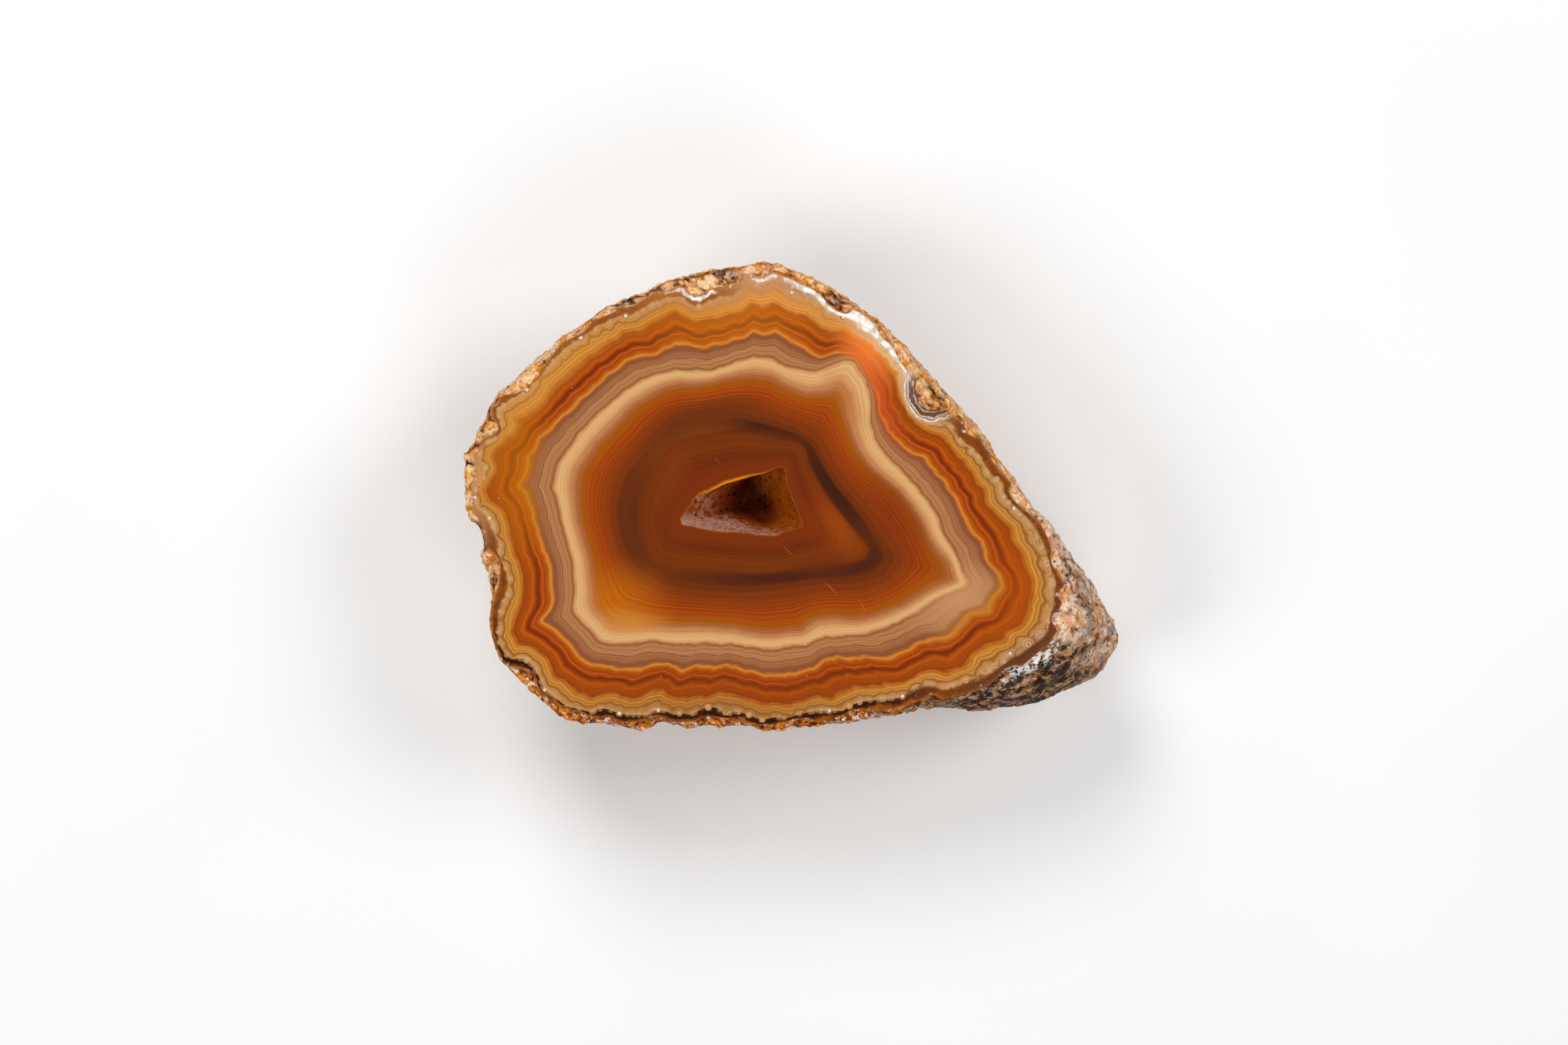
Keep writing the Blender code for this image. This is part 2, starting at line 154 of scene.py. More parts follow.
MAUVE_INNER = (
    (-15.4, 6.7), (-6.4, 7.9), (-3.4, 7.2), (0.6, 6.7), (1.3, 5.7), (1.6, 4.2), (2.6, 2.2), (4.1, -0.3),
    (9.3, -6.8), (8.6, -7.8), (6.1, -8.3), (2.6, -8.4), (-0.9, -9.3), (-3.9, -9.8), (-11.4, -9.2),
    (-15.4, -9.0), (-17.9, -8.3), (-18.9, -5.8), (-19.2, -2.8), (-18.9, 0.2), (-16.4, 5.2),
)
HOLLOW_RIM = (
    (-14.6, -3.0), (-12.6, -0.3), (-11.9, 0.2), (-11.1, 0.4), (-8.9, 1.5), (-5.4, 2.5), (-3.9, 2.8),
    (-2.1, 3.6), (-1.4, 3.7), (-1.2, 2.2), (-0.8, 0.7), (1.0, -3.9), (-1.4, -4.6), (-2.4, -5.1),
    (-5.1, -5.0), (-5.9, -4.8), (-10.4, -4.5), (-14.4, -3.7),
)
GROWTH_LINES = (
    POLISHED_EDGE, ORB_LINE, ORANGE_OUTER, ORANGE_INNER, CREAM_OUTER, CREAM_INNER, MAUVE_OUTER, MAUVE_INNER, HOLLOW_RIM
)
LINE_DEPTHS = (0.0, 1.2, 3.2, 7.4, 10.4, 12.4, 19.6, 22.0, 28.0)  # usual distance of each line from the first

# How finely each part of the mesh is divided.
HEART = Vector((-2.4, -2.6, 12.0))
HOLLOW_HEART = Vector((-5.2, -0.8, 26.3))
SPOKES = 600
BAND_RINGS = 8
WALL_RINGS = 76
HOLLOW_SPOKES = 144
HOLLOW_RINGS = 26
ORB_SPACING = 0.15
ORB_REACH = 1.3
COARSER = 3  # how many times further apart the points lie away from the orbs
LINE_STEP = 0.35
CUSP_ANGLE = 24

# Relief of the rind and of the crystals in the hollow.
ORB_GAPS = (1.0, 2.7)
FLAT_SPOT = 0.25
RIM_DROP = 0.35
GRAIN_SIZE = 1.0
GRAIN_RELIEF = 0.32
SWELL_SIZE = 4.2
SWELL_RELIEF = 0.34
CREVICE_RELIEF = 0.42
PIT_SIZE = 5.5
PIT_DEPTH = 0.85
RIND_HOLLOWS = (  # hollows in the rind beside the face, darkened by painted shade: place and radius in mm, and depth
    (-8.4, 28.0, 1.7, 0.3),
    (5.3, 24.6, 2.1, 0.6),
    (-40.3, -5.2, 2.4, 1.2),
    (-15.2, 26.9, 0.7, 0.3),
    (-12.1, 27.9, 0.8, 0.3),
)
CRYSTAL_SIZE = 0.55
CRYSTAL_RELIEF = 0.16


# Places in the UV map OFBake, as shares of its side.
MAP_EDGE = 0.004
HOLLOW_PLACE = (0.90, 0.68)
HOLLOW_REACH = 0.065

# Colours of the agate from each growth line to the next, as shares of the way and colours.
PAINT_STRENGTH = 0.83
PAINT_LIFT = 0.0055  # how much the light in the reflections adds to each colour
OUTER_BROWN = (
    (0.00, "9A5A28"), (0.18, "86481C"), (0.45, "7C4018"), (0.75, "8A4C20"), (0.90, "AE7440"), (1.00, "D0A272"),
)
ORB_BANDS = (
    (0.00, "DDBB94"), (0.05, "BE8A56"), (0.10, "CFA070"), (0.15, "B07A44"), (0.20, "CB9862"), (0.25, "AE7840"),
    (0.30, "C38C54"), (0.35, "B78048"), (0.40, "A87038"), (0.46, "98602C"), (0.52, "99622E"), (0.56, "B57C3C"),
    (0.60, "CD964A"), (0.64, "B67C34"), (0.70, "B5742A"), (0.76, "C38032"), (0.80, "D69B48"), (0.84, "BF7A2C"),
    (0.90, "C37C2E"), (1.00, "B4662A"),
)
RUST_BANDS = (
    (0.00, "BA6B29"), (0.05, "B4601F"), (0.09, "A4501A"), (0.13, "8E3F12"), (0.17, "A24C16"), (0.20, "96430F"),
    (0.24, "A84C0F"), (0.28, "9A450E"), (0.33, "AE5010"), (0.39, "B95814"), (0.43, "A84A10"), (0.48, "943F10"),
    (0.51, "742C0C"), (0.53, "8A390E"), (0.555, "6A280B"), (0.58, "80340E"), (0.62, "9A4210"), (0.66, "A84A14"),
    (0.68, "D25C20"), (0.70, "A84A14"), (0.74, "9A3F10"), (0.80, "A84C14"), (0.86, "B05818"), (0.89, "BC6A22"),
    (0.93, "D28232"), (0.97, "CC7A2E"), (1.00, "B86C30"),
)
TAN_BANDS = (
    (0.00, "B16531"), (0.03, "96552F"), (0.08, "8C5231"), (0.14, "8A5236"), (0.20, "93593A"), (0.25, "9C643D"),
    (0.30, "A06742"), (0.34, "955B38"), (0.38, "A56E47"), (0.42, "A26C44"), (0.45, "8A5431"), (0.48, "A26A42"),
    (0.52, "B27A4C"), (0.56, "B67F52"), (0.59, "A06A42"), (0.62, "B57E50"), (0.67, "AC7548"), (0.70, "9A6540"),
    (0.73, "B27B4E"), (0.79, "B0784C"), (0.84, "A86E44"), (0.88, "98603A"), (0.905, "92582E"), (0.93, "A0683C"),
    (0.96, "B27A4A"), (1.00, "BE8654"),
)
CREAM_BANDS = (
    (0.00, "BE8654"), (0.04, "CB9662"), (0.09, "D6A26C"), (0.12, "CC9660"), (0.15, "DAA973"), (0.22, "DDAD74"),
    (0.30, "D9A870"), (0.33, "CC9860"), (0.36, "DCAA72"), (0.44, "DAA76E"), (0.48, "CF9B65"), (0.52, "D8A56F"),
    (0.60, "D29C68"), (0.65, "C58E5C"), (0.69, "CE9763"), (0.76, "C58B5A"), (0.80, "B97E50"), (0.84, "C58859"),
    (0.92, "BF8050"), (1.00, "B87444"),
)
ORANGE_BANDS = (
    (0.00, "B8764A"), (0.02, "A06640"), (0.04, "B67448"), (0.065, "9A5A34"), (0.09, "AC6532"), (0.13, "A25A26"),
    (0.18, "9E5010"), (0.22, "A85408"), (0.25, "9A4602"), (0.28, "AE5606"), (0.31, "9C4400"), (0.36, "A04600"),
    (0.43, "983F01"), (0.47, "A04603"), (0.50, "8E3A02"), (0.53, "9C4404"), (0.56, "8A3804"), (0.60, "923E05"),
    (0.66, "8B3B06"), (0.74, "82370A"), (0.80, "7C350B"), (0.86, "7F390F"), (0.90, "76330F"), (0.95, "6F3110"),
    (1.00, "6C3014"),
)
MAUVE_BANDS = (
    (0.00, "70330F"), (0.20, "6E3310"), (0.50, "6C3110"), (0.80, "6E3210"), (1.00, "73330C"),
)
# The last stops brighten the agate at the rim of the hollow: painted glow of light through its thin edge.
INNER_BANDS = (
    (0.00, "72320D"), (0.05, "763508"), (0.14, "733305"), (0.24, "793705"), (0.33, "703003"), (0.37, "763404"),
    (0.42, "6C2D03"), (0.48, "712F02"), (0.53, "6A2B02"), (0.60, "733003"), (0.70, "772F02"), (0.80, "7B3302"),
    (0.90, "773102"), (0.96, "7E3503"), (0.985, "8E4608"), (1.00, "9A4E0A"),
)
ZONES = (OUTER_BROWN, ORB_BANDS, RUST_BANDS, TAN_BANDS, CREAM_BANDS, ORANGE_BANDS, MAUVE_BANDS, INNER_BANDS)

# Soft areas of another tint on the face: place and radius in mm, stretch, turn, growth from and to, colour, share.
TINTS = (
    ("cream orbs at the left", -40.0, 2.0, 7.5, (0.7, 1.4), 0, 1.0, 2.0, "D69C62", 0.75),
    ("brown upper left rim", -31.0, 17.5, 12.0, (1.5, 0.6), 42, 1.0, 1.8, "A5602A", 0.7),
    ("amber top rim", -15.0, 27.0, 9.0, (1.4, 0.7), 12, 1.0, 1.8, "BE7636", 0.75),
    ("pink top rim", -4.0, 28.0, 8.0, (1.2, 0.7), -10, 1.0, 1.9, "DDA273", 0.8),
    ("cream top right rim", 8.0, 22.5, 11.0, (1.6, 0.5), -48, 1.0, 2.0, "EBCDAF", 0.9),
    ("mauve lower right rim", 28.5, -20.0, 9.0, (1.5, 0.6), 42, 1.0, 1.9, "5E3A28", 0.9),
    ("dark bottom orbs", -10.0, -27.0, 30.0, (1.0, 0.25), 0, 2.0, 3.0, "8C5526", 0.45),
    ("golden orbs upper left", -30.0, 13.0, 17.0, (1.2, 0.7), 45, 2.1, 3.2, "DE9440", 0.45),
    ("orange orbs at the top", -2.0, 25.0, 12.0, (1.6, 0.6), -10, 2.1, 3.1, "E89C58", 0.55),
    ("blush by the notch", 9.0, 18.5, 5.0, (1.5, 0.8), -55, 2.4, 4.6, "F5843A", 0.85),
    ("blush along the notch", 6.5, 12.5, 5.0, (1.5, 0.45), -58, 5.0, 6.6, "B5631D", 0.35),
    ("red wall of the notch", 10.5, 13.0, 6.0, (1.9, 0.5), -62, 3.4, 4.4, "D2552A", 0.55),
    ("pale top right", 12.5, 18.0, 9.0, (1.6, 0.6), -50, 1.0, 2.7, "EDBF92", 0.7),
    ("tan beads at the top", -6.0, 26.0, 14.0, (1.5, 0.5), 5, 1.9, 2.55, "BE8658", 0.8),
    ("golden top", -8.0, 24.0, 20.0, (1.0, 0.5), 0, 2.3, 4.0, "E08A28", 0.3),
    ("golden left rust", -34.0, 2.0, 11.0, (0.6, 1.2), 0, 3.0, 4.2, "C0700F", 0.6),
    ("dark bottom rust", -5.0, -25.0, 30.0, (1.3, 0.25), 0, 3.0, 3.9, "8A3A10", 0.4),
    ("smooth lower right tan", 21.5, -13.5, 7.5, (1.3, 0.9), 25, 4.15, 5.1, "C69062", 0.85),
    ("mustard lower right", 23.5, -15.5, 6.5, (1.6, 0.7), 45, 3.8, 4.15, "C07A30", 0.8),
    ("bright lower left", -23.0, -14.0, 9.0, (1.0, 0.8), 0, 6.0, 7.4, "C26A08", 0.75),
    ("golden lower left cream", -21.0, -16.5, 6.0, (1.2, 0.6), 0, 5.6, 6.3, "D99440", 0.5),
    ("dark right of the middle", 5.5, 1.5, 11.5, (0.6, 1.3), 38, 7.1, 7.9, "3A1F18", 0.95),
    ("dark lower corner", 9.0, -8.6, 6.0, (1.2, 0.6), 15, 7.25, 7.8, "40211A", 0.7),
    ("dark arch above the middle", -4.5, 9.2, 10.0, (1.4, 0.22), -4, 7.1, 8.0, "402014", 0.95),
    ("mauve upper left", -12.5, 8.5, 10.0, (1.3, 0.6), 30, 6.5, 7.8, "5C2E1A", 0.7),
    ("dark under the middle", -2.0, -10.6, 13.0, (1.5, 0.16), 1, 7.1, 7.9, "43211A", 0.8),
    ("mauve left", -20.5, -3.5, 8.5, (0.5, 1.2), 0, 6.8, 7.7, "5A2A1A", 0.6),
    ("rust upper left", -13.0, 6.5, 7.0, (1.4, 0.6), 25, 6.4, 7.8, "8A430E", 0.6),
    ("rust left of the middle", -15.0, 0.0, 7.0, (0.6, 1.3), 0, 7.6, 8.6, "843A0C", 0.6),
    ("rust lower right", 30.0, -13.0, 9.0, (1.0, 1.3), 0, 3.0, 3.9, "B0500F", 0.6),
    ("dim right of the cream", 13.0, -2.0, 9.0, (0.6, 1.4), 30, 6.0, 7.0, "7C300A", 0.6),
    ("red right of the hollow", 4.0, -2.0, 6.0, (0.7, 1.2), 0, 8.0, 9.1, "8E3702", 0.6),
    ("orange inside the lower corner", 6.0, -4.5, 5.0, (0.7, 1.3), 38, 7.95, 8.5, "A04A08", 0.6),
    # The orange lip is painted glow: light shining through the thin agate at the hollow's upper rim.
    ("orange lip of the hollow", -8.2, 1.6, 6.5, (1.0, 0.4), 17, 8.965, 9.06, "F0981A", 1.0),
)
QUARTZ = (
    (9.5, 19.8, 7.5, (1.9, 0.5), -50, 1.05, 1.8),
    (3.5, 24.8, 4.5, (1.8, 0.5), -30, 1.1, 1.6),
    (-4.5, 27.2, 2.2, (1.6, 0.5), 25, 1.2, 1.6),
    (-12.8, 25.4, 3.0, (1.6, 0.5), 0, 1.0, 1.45),
)
SCRATCHES = (  # place and half length in mm, and turn
    (-0.9, -7.1, 1.3, -45), (4.6, -11.8, 1.6, -45), (8.6, -14.0, 1.3, -62), (-9.9, 4.4, 0.9, -50), (-24.2, 4.0, 0.7, 50),
    (-13.0, -20.5, 0.9, -48),
)
ORB_RADIUS = 0.38
MIDDLE = (-5.0, -3.0, FACE_HEIGHT)
ARC_REACH = 34.0
ORB_RINGS = (
    (0.00, "F3DFC2"), (0.14, "E0BE94"), (0.26, "BA8C58"), (0.38, "DDB78A"), (0.50, "B5834E"), (0.64, "D6AA76"),
    (0.80, "B68450"), (1.00, "C79860"),
)
CHAIN_RINGS = (
    (0.00, "F6E2C8"), (0.16, "D8AE80"), (0.28, "9C6A3E"), (0.40, "E2BE92"), (0.55, "A87444"), (0.72, "D2A272"),
    (0.88, "8E5E36"), (1.00, "B98856"),
)
ARCS = (
    (3.0, ((1.0, 0.0), (2.0, 0.10), (3.0, 0.17), (4.0, 0.16), (5.0, 0.14), (5.8, 0.08), (6.4, 0.0), (9.0, 0.0))),
    (1.2, ((1.0, 0.10), (2.2, 0.22), (2.9, 0.12), (3.4, 0.03), (4.0, 0.02), (5.0, 0.02), (6.0, 0.0), (9.0, 0.0))),
)
UNEVEN = 0.04
RAGGED = 0.022
LINE_STRENGTH = (
    (1.0, 0.1), (2.0, 0.3), (2.9, 0.3), (3.1, 0.42), (3.9, 0.34), (4.1, 0.2), (4.5, 0.36), (5.0, 0.24), (5.9, 0.22),
    (6.1, 0.5), (6.6, 0.5), (6.9, 0.22), (7.2, 0.15), (7.9, 0.18), (8.2, 0.34), (8.8, 0.3), (9.0, 0.1),
)
RIND_COLOURS = (
    (0.30, "A04C06"), (0.38, "DA8016"), (0.45, "F09A30"), (0.52, "FFBC62"), (0.60, "FFDCA4"), (0.72, "F29C28"),
)
SHOULDER_COLOURS = (
    (0.30, "96602F"), (0.38, "E6A470"), (0.46, "FFD0A4"), (0.56, "FFEEDA"), (0.68, "EEBC92"),
)
AMBER_COLOURS = (
    (0.30, "2E1005"), (0.40, "6A2A06"), (0.48, "A8520C"), (0.55, "EE9A34"), (0.62, "8A4008"), (0.76, "381405"),
)
CLEAR_COLOURS = (
    (0.00, "9A5414"), (0.25, "6E340E"), (0.45, "38180A"), (0.70, "200C07"), (0.92, "3A1C0C"),
)
EYE = (17.6, 13.4)
EYE_REACH = (3.7, 3.9)
EYE_RINGS = (
    (0.60, "8A6A4C"), (0.66, "4A2E1C"), (0.72, "D0B8A0"), (0.75, "5A3C26"), (0.86, "6E4E34"), (0.895, "EADFD4"),
    (0.92, "9A7450"), (0.96, "B48C66"), (0.99, "FFFFFF"), (1.05, "FFFFFF"), (1.10, "C8A078"),
)

# The stage: the floor, the lights and the photograph's view.
FLOOR_SIDE = 2400.0
LIGHTS = (
    ("top_light", 112, 50, 620, 290, 2.17),
    ("left_light", 202, 50, 620, 290, 1.51),
    ("right_light", 22, 50, 620, 290, 1.58),
    ("bottom_light", -68, 50, 620, 290, 0.96),
)
WORLD_LIGHT = 0.12
LENS = 100.0
SENSOR = 36.0
FRAME_WIDTH = 200.0
VIEW_MIDDLE = (-1.4, -3.45)


def smooth_step(low, high, value):
    """Nothing at low, all at high, and an even change between them."""
    share = np.clip((value - low) / (high - low), 0, 1)
    return share * share * (3 - 2 * share)


def unit(vectors):
    """The vectors, each made 1 long."""
    return vectors / np.maximum(np.linalg.norm(vectors, axis=-1, keepdims=True), 1e-9)


def curve_through(points, step, corner):
    """A closed line through the points, with a point about every step. It turns smoothly, but keeps a sharp corner
    where it points outward and turns by more than the corner angle, in degrees."""
    points = np.array(points, float)
    after = np.roll(points, -1, 0)
    ahead = unit(after - points)
    behind = np.roll(ahead, 1, 0)
    runs_left = np.sign((points[:, 0] * after[:, 1] - points[:, 1] * after[:, 0]).sum())
    turn = np.degrees(np.arcsin(np.clip(behind[:, 0] * ahead[:, 1] - behind[:, 1] * ahead[:, 0], -1, 1)))
    sharp = (turn * runs_left > corner)[:, None] | (corner == 0)
    way = unit(ahead + behind)
    leaving, arriving = np.where(sharp, ahead, way), np.where(sharp, behind, way)
    made = []
    for start, end, out, into in zip(points, after, leaving, np.roll(arriving, -1, 0)):
        length = np.linalg.norm(end - start)
        for share in np.arange(max(1, round(length / step))) / max(1, round(length / step)):
            square, cube = share ** 2, share ** 3
            made.append((2 * cube - 3 * square + 1) * start + (3 * square - 2 * cube) * end
                        + length * ((cube - 2 * square + share) * out + (cube - square) * into))
    return np.array(made)


def is_inside(points, loop):
    """Whether each point lies inside the closed line."""
    inside = np.zeros(len(points), bool)
    x, y = points[:, 0], points[:, 1]
    for (x1, y1), (x2, y2) in zip(loop, np.roll(loop, -1, 0)):
        if y1 == y2:
            continue
        crosses = (y1 > y) != (y2 > y)
        inside ^= crosses & (x < x1 + (y - y1) / (y2 - y1) * (x2 - x1))
    return inside


def distance_to(points, loop):
    """Each point's distance to the closed line."""
    nearest, _ = nearest_of(points, loop)
    best = np.full(len(points), np.inf)
    for side in (-1, 1):
        start, end = loop[nearest], loop[(nearest + side) % len(loop)]
        along = end - start
        share = ((points - start) * along).sum(1) / np.maximum((along * along).sum(1), 1e-9)
        foot = start + np.clip(share, 0, 1)[:, None] * along
        best = np.minimum(best, np.linalg.norm(points - foot, axis=1))
    return best


def nearest_of(points, centres):
    """The number of the nearest of the centres for each point, and its distance."""
    tree = kdtree.KDTree(len(centres))
    for index, (x, y) in enumerate(centres):
        tree.insert((x, y, 0), index)
    tree.balance()
    found = [tree.find((x, y, 0)) for x, y in points]
    return np.array([index for _, index, _ in found]), np.array([distance for _, _, distance in found])


def orb_centres(loop):
    """Places along the orb line where the first small orbs of agate began to grow."""
    steps = np.linalg.norm(np.roll(loop, -1, 0) - loop, axis=1)
    centres, walked, wait = [], 0.0, 0.0
    for number, (point, step) in enumerate(zip(loop, steps)):
        if walked >= wait:
            centres.append(point)
            wait += ORB_GAPS[0] + (ORB_GAPS[1] - ORB_GAPS[0]) * chance(number)
        walked += step
    return np.array(centres)


def chance(number):
    """A number from 0 to 1 that belongs to a whole number, the same each time."""
    return noise.cell(Vector((number * 7.37 + 0.5, 4.1, 7.7)))


def growth_at(points, loops, from_orb):
    """How far the agate had grown at each point: the line's number, and the share of the way to the next line.
    The second result says how much further on the growth is between the small orbs than the lines alone say."""
    away = [distance_to(points, loop) for loop in loops]
    growth = np.ones(len(points))
    for number in range(len(loops) - 1):
        inside = is_inside(points, loops[number])
        share = away[number] / np.maximum(away[number] + away[number + 1], 1e-6)
        growth[inside] = (number + 1 + share)[inside]
    orb_share = from_orb / np.maximum(from_orb + away[2], 1e-6)
    line_share = np.where(growth >= 2, growth - 2, 0)
    orb = np.where(growth < 3, np.clip(orb_share - line_share, 0, 1), 0)
    return growth, orb


def swept_wall(tree, heart, rim, rings, from_outside, crowding):
    """Columns of points down a wall seen from heart, one under each rim point, rows from the rim to the bottom."""
    columns = []
    for point in rim:
        level = Vector((point[0] - heart.x, point[1] - heart.y, 0))
        reach, level = level.length, level.normalized()
        top = math.atan2(point[2] - heart.z, reach)
        column = [np.array(point)]
        for angle in np.linspace(top, -math.pi / 2, 150)[1:]:
            ray = level * math.cos(angle) + Vector((0, 0, math.sin(angle)))
            start, way = (heart + ray * 90, -ray) if from_outside else (heart, ray)
            struck = tree.ray_cast(start, way)[0]
            if struck is not None:
                column.append(np.array(struck))
        column = np.array(column)
        length = np.r_[0, np.cumsum(np.linalg.norm(np.diff(column, axis=0), axis=1))]
        wanted = length[-1] * np.linspace(0, 1, rings) ** crowding
        columns.append(np.stack([np.interp(wanted, length, column[:, axis]) for axis in range(3)], 1))
    return np.array(columns).transpose(1, 0, 2)


def relaxed(rows, times, kept):
    """The rows of points evened out, apart from the first few rows and the last."""
    for _ in range(times):
        around = (np.roll(rows, 1, 1) + np.roll(rows, -1, 1)) / 2
        between = (rows[:-2] + rows[2:]) / 2
        moved = rows.copy()
        moved[1:-1] = (rows[1:-1] * 2 + around[1:-1] + between) / 4
        moved[:kept] = rows[:kept]
        rows = moved
    return rows


def normals_of(rows):
    """Outward directions of a wall whose rows run down and whose spokes run anticlockwise."""
    around = np.roll(rows, -1, 1) - np.roll(rows, 1, 1)
    down = np.gradient(rows, axis=0)
    normals = np.cross(down, around)
    return normals / np.maximum(np.linalg.norm(normals, axis=2, keepdims=True), 1e-9)


def crack(place, thickness):
    """One in the seam between two grains around the place, and nothing inside a grain."""
    distances = noise.voronoi(place)[0]
    return 1 - smooth_step(0, thickness, distances[1] - distances[0])


def rind_relief(place):
    """Height of the rind's relief at a place, in mm, and how deep in a crevice or pit it is, from 0 to 1, which the
    rind's colour darkens as painted shade.
    """
    distances = noise.voronoi(place / GRAIN_SIZE)[0]
    dome = 0.5 - distances[0] / 0.62
    swell = noise.fractal(place / SWELL_SIZE, 1.0, 2.0, 3)
    strata = crack(Vector((place.x / 3.4, place.y / 3.4, place.z / 1.3)), 0.22)
    broken = smooth_step(-0.15, 0.35, noise.noise(place / 7.5 + Vector((3, 1, 8))))
    pit_place = place / PIT_SIZE + Vector((11, 5, 2))
    nearest, centres = noise.voronoi(pit_place)
    is_pit = noise.cell(centres[0] * 9.7) > 0.62
    pit = (1 - smooth_step(0.08, 0.34, nearest[0])) * is_pit
    height = GRAIN_RELIEF * dome + SWELL_RELIEF * swell - CREVICE_RELIEF * strata * broken - PIT_DEPTH * pit
    sunk, dark = hollow_relief(place)
    return height - sunk, float(np.clip(0.3 - 0.6 * dome + 0.7 * strata * broken + pit + 0.6 * dark, 0, 1))


def hollow_relief(place):
    """How deep the place lies in the rind's hollows beside the face, in mm, and how much painted shade that gives it.
    """
    sunk = dark = 0.0
    for x, y, radius, depth in RIND_HOLLOWS:
        share = 1 - float(smooth_step(0.4, 1.0, math.hypot(place.x - x, place.y - y) / radius))
        share *= float(smooth_step(FACE_HEIGHT - 6, FACE_HEIGHT - 3, place.z))
        sunk, dark = max(sunk, depth * share), max(dark, share)
    return sunk, dark


def rind_rows(tree, edge):
    """The rind from the polished edge across the sawn rim and down to the flat spot, with its relief."""
    rim = []
    for x, y, _ in edge:
        level = Vector((x - HEART.x, y - HEART.y, 0)).normalized()
        start = Vector((HEART.x, HEART.y, FACE_HEIGHT - 0.12)) + level * 90
        struck = tree.ray_cast(start, -level)[0]
        reach = max((struck - start).length, 0)
        out = max(90 - reach, (Vector((x, y)) - HEART.xy).length + 0.15)
        rim.append((HEART.x + level.x * out, HEART.y + level.y * out, FACE_HEIGHT - 0.12))
    wall = swept_wall(tree, HEART, rim, WALL_RINGS, True, 1.35)
    shares = np.linspace(0, 1, BAND_RINGS + 1)[:-1, None, None]
    band = edge[None] * (1 - shares) + np.array(rim)[None] * shares
    rows = relaxed(np.concatenate([band, wall]), 6, 1)
    normals = normals_of(rows)
    crevice = np.zeros(rows.shape[:2])
    out_from_edge = np.linalg.norm(rows[..., :2] - edge[None, :, :2], axis=2)
    strength = smooth_step(0, 0.7, out_from_edge) * smooth_step(FLAT_SPOT, 3.0, rows[..., 2])
    strength[BAND_RINGS:] = np.maximum(strength[BAND_RINGS:], smooth_step(FLAT_SPOT, 3.0, rows[BAND_RINGS:, :, 2]) * 0.9)
    for row in range(1, len(rows) - 1):
        for spoke in range(SPOKES):
            height, crevice[row, spoke] = rind_relief(Vector(rows[row, spoke]))
            rows[row, spoke] += normals[row, spoke] * height * strength[row, spoke]
    sunk = RIM_DROP * smooth_step(0, 1.0, out_from_edge[:BAND_RINGS])
    rows[:BAND_RINGS, :, 2] = np.minimum(rows[:BAND_RINGS, :, 2] - sunk, FACE_HEIGHT)
    rows[..., 2] = np.clip(rows[..., 2], 0, FACE_HEIGHT)
    return rows, crevice


def hollow_rows(tree, rim):
    """The walls of the hollow, from the rim down to its deepest place, covered with small crystals."""
    rows = relaxed(swept_wall(tree, HOLLOW_HEART, rim, HOLLOW_RINGS, False, 1.0), 2, 1)
    normals = -normals_of(rows)
    for row in range(1, len(rows) - 1):
        for spoke in range(HOLLOW_SPOKES):
            place = Vector(rows[row, spoke])
            nearest = noise.voronoi(place / CRYSTAL_SIZE)[0][0]
            height = CRYSTAL_RELIEF * (0.4 - nearest) + 0.12 * noise.noise(place / 1.6)
            rows[row, spoke] += normals[row, spoke] * height * smooth_step(0, 1.0, FACE_HEIGHT - place.z)
    return rows


def spokes_over(loop, heart, count):
    """Points where evenly turned spokes from heart cross the closed line, on the polished face."""
    found = []
    start, end = loop - np.array(heart.xy), np.roll(loop, -1, 0) - np.array(heart.xy)
    along = end - start
    for turn in np.arange(count) / count * 2 * math.pi:
        way = np.array((math.cos(turn), math.sin(turn)))
        bend = along[:, 0] * way[1] - along[:, 1] * way[0]
        bend = np.where(np.abs(bend) < 1e-9, 1e-9, bend)
        share = (start[:, 1] * way[0] - start[:, 0] * way[1]) / bend
        reach = ((start + share[:, None] * along) @ way)[(share >= 0) & (share < 1)]
        found.append((*(np.array(heart.xy) + way * reach[reach > 0].max()), FACE_HEIGHT))
    return np.array(found)


def points_along(loop, heart, count):
    """Evenly spaced points along the closed line, on the polished face, from the one level with heart."""
    closed = np.vstack([loop, loop[:1]])
    length = np.r_[0, np.cumsum(np.linalg.norm(np.diff(closed, axis=0), axis=1))]
    wanted = np.arange(count) / count * length[-1]
    x, y = (np.interp(wanted, length, closed[:, axis]) for axis in range(2))
    turn = np.arctan2(y - heart.y, x - heart.x)
    if np.diff(np.unwrap(turn)).mean() < 0:
        x, y = x[::-1], y[::-1]
        turn = turn[::-1]
    first = int(np.argmin(np.abs(turn)))
    return np.roll(np.stack([x, y, np.full(count, FACE_HEIGHT)], 1), -first, 0)


def face_points(edge, rim, loops):
    """Points over the polished face: close together by the small orbs, further apart inside."""
    low, high = edge.min(0), edge.max(0)
    fine, height = ORB_SPACING, ORB_SPACING * math.sqrt(3) / 2
    found = []
    for row in range(int((high[1] - low[1]) / height)):
        xs = low[0] + fine * (np.arange(int((high[0] - low[0]) / fine)) + row % 2 / 2)
        line = np.stack([xs, np.full(len(xs), low[1] + row * height)], 1)
        turn = np.arange(len(xs)) + (row // COARSER) % 2 * (COARSER // 2)
        found.append(np.c_[line, (row % COARSER == 0) & (turn % COARSER == 0)])
    found = np.concatenate(found)
    points, is_coarse = found[:, :2], found[:, 2] > 0
    near_orbs = distance_to(points, loops[1]) < ORB_REACH
    wanted = (near_orbs | is_coarse) & is_inside(points, edge[:, :2]) & ~is_inside(points, rim[:, :2])
    points = points[wanted]
    clear = (distance_to(points, edge[:, :2]) > 0.12) & (distance_to(points, rim[:, :2]) > 0.15)
    return points[clear]


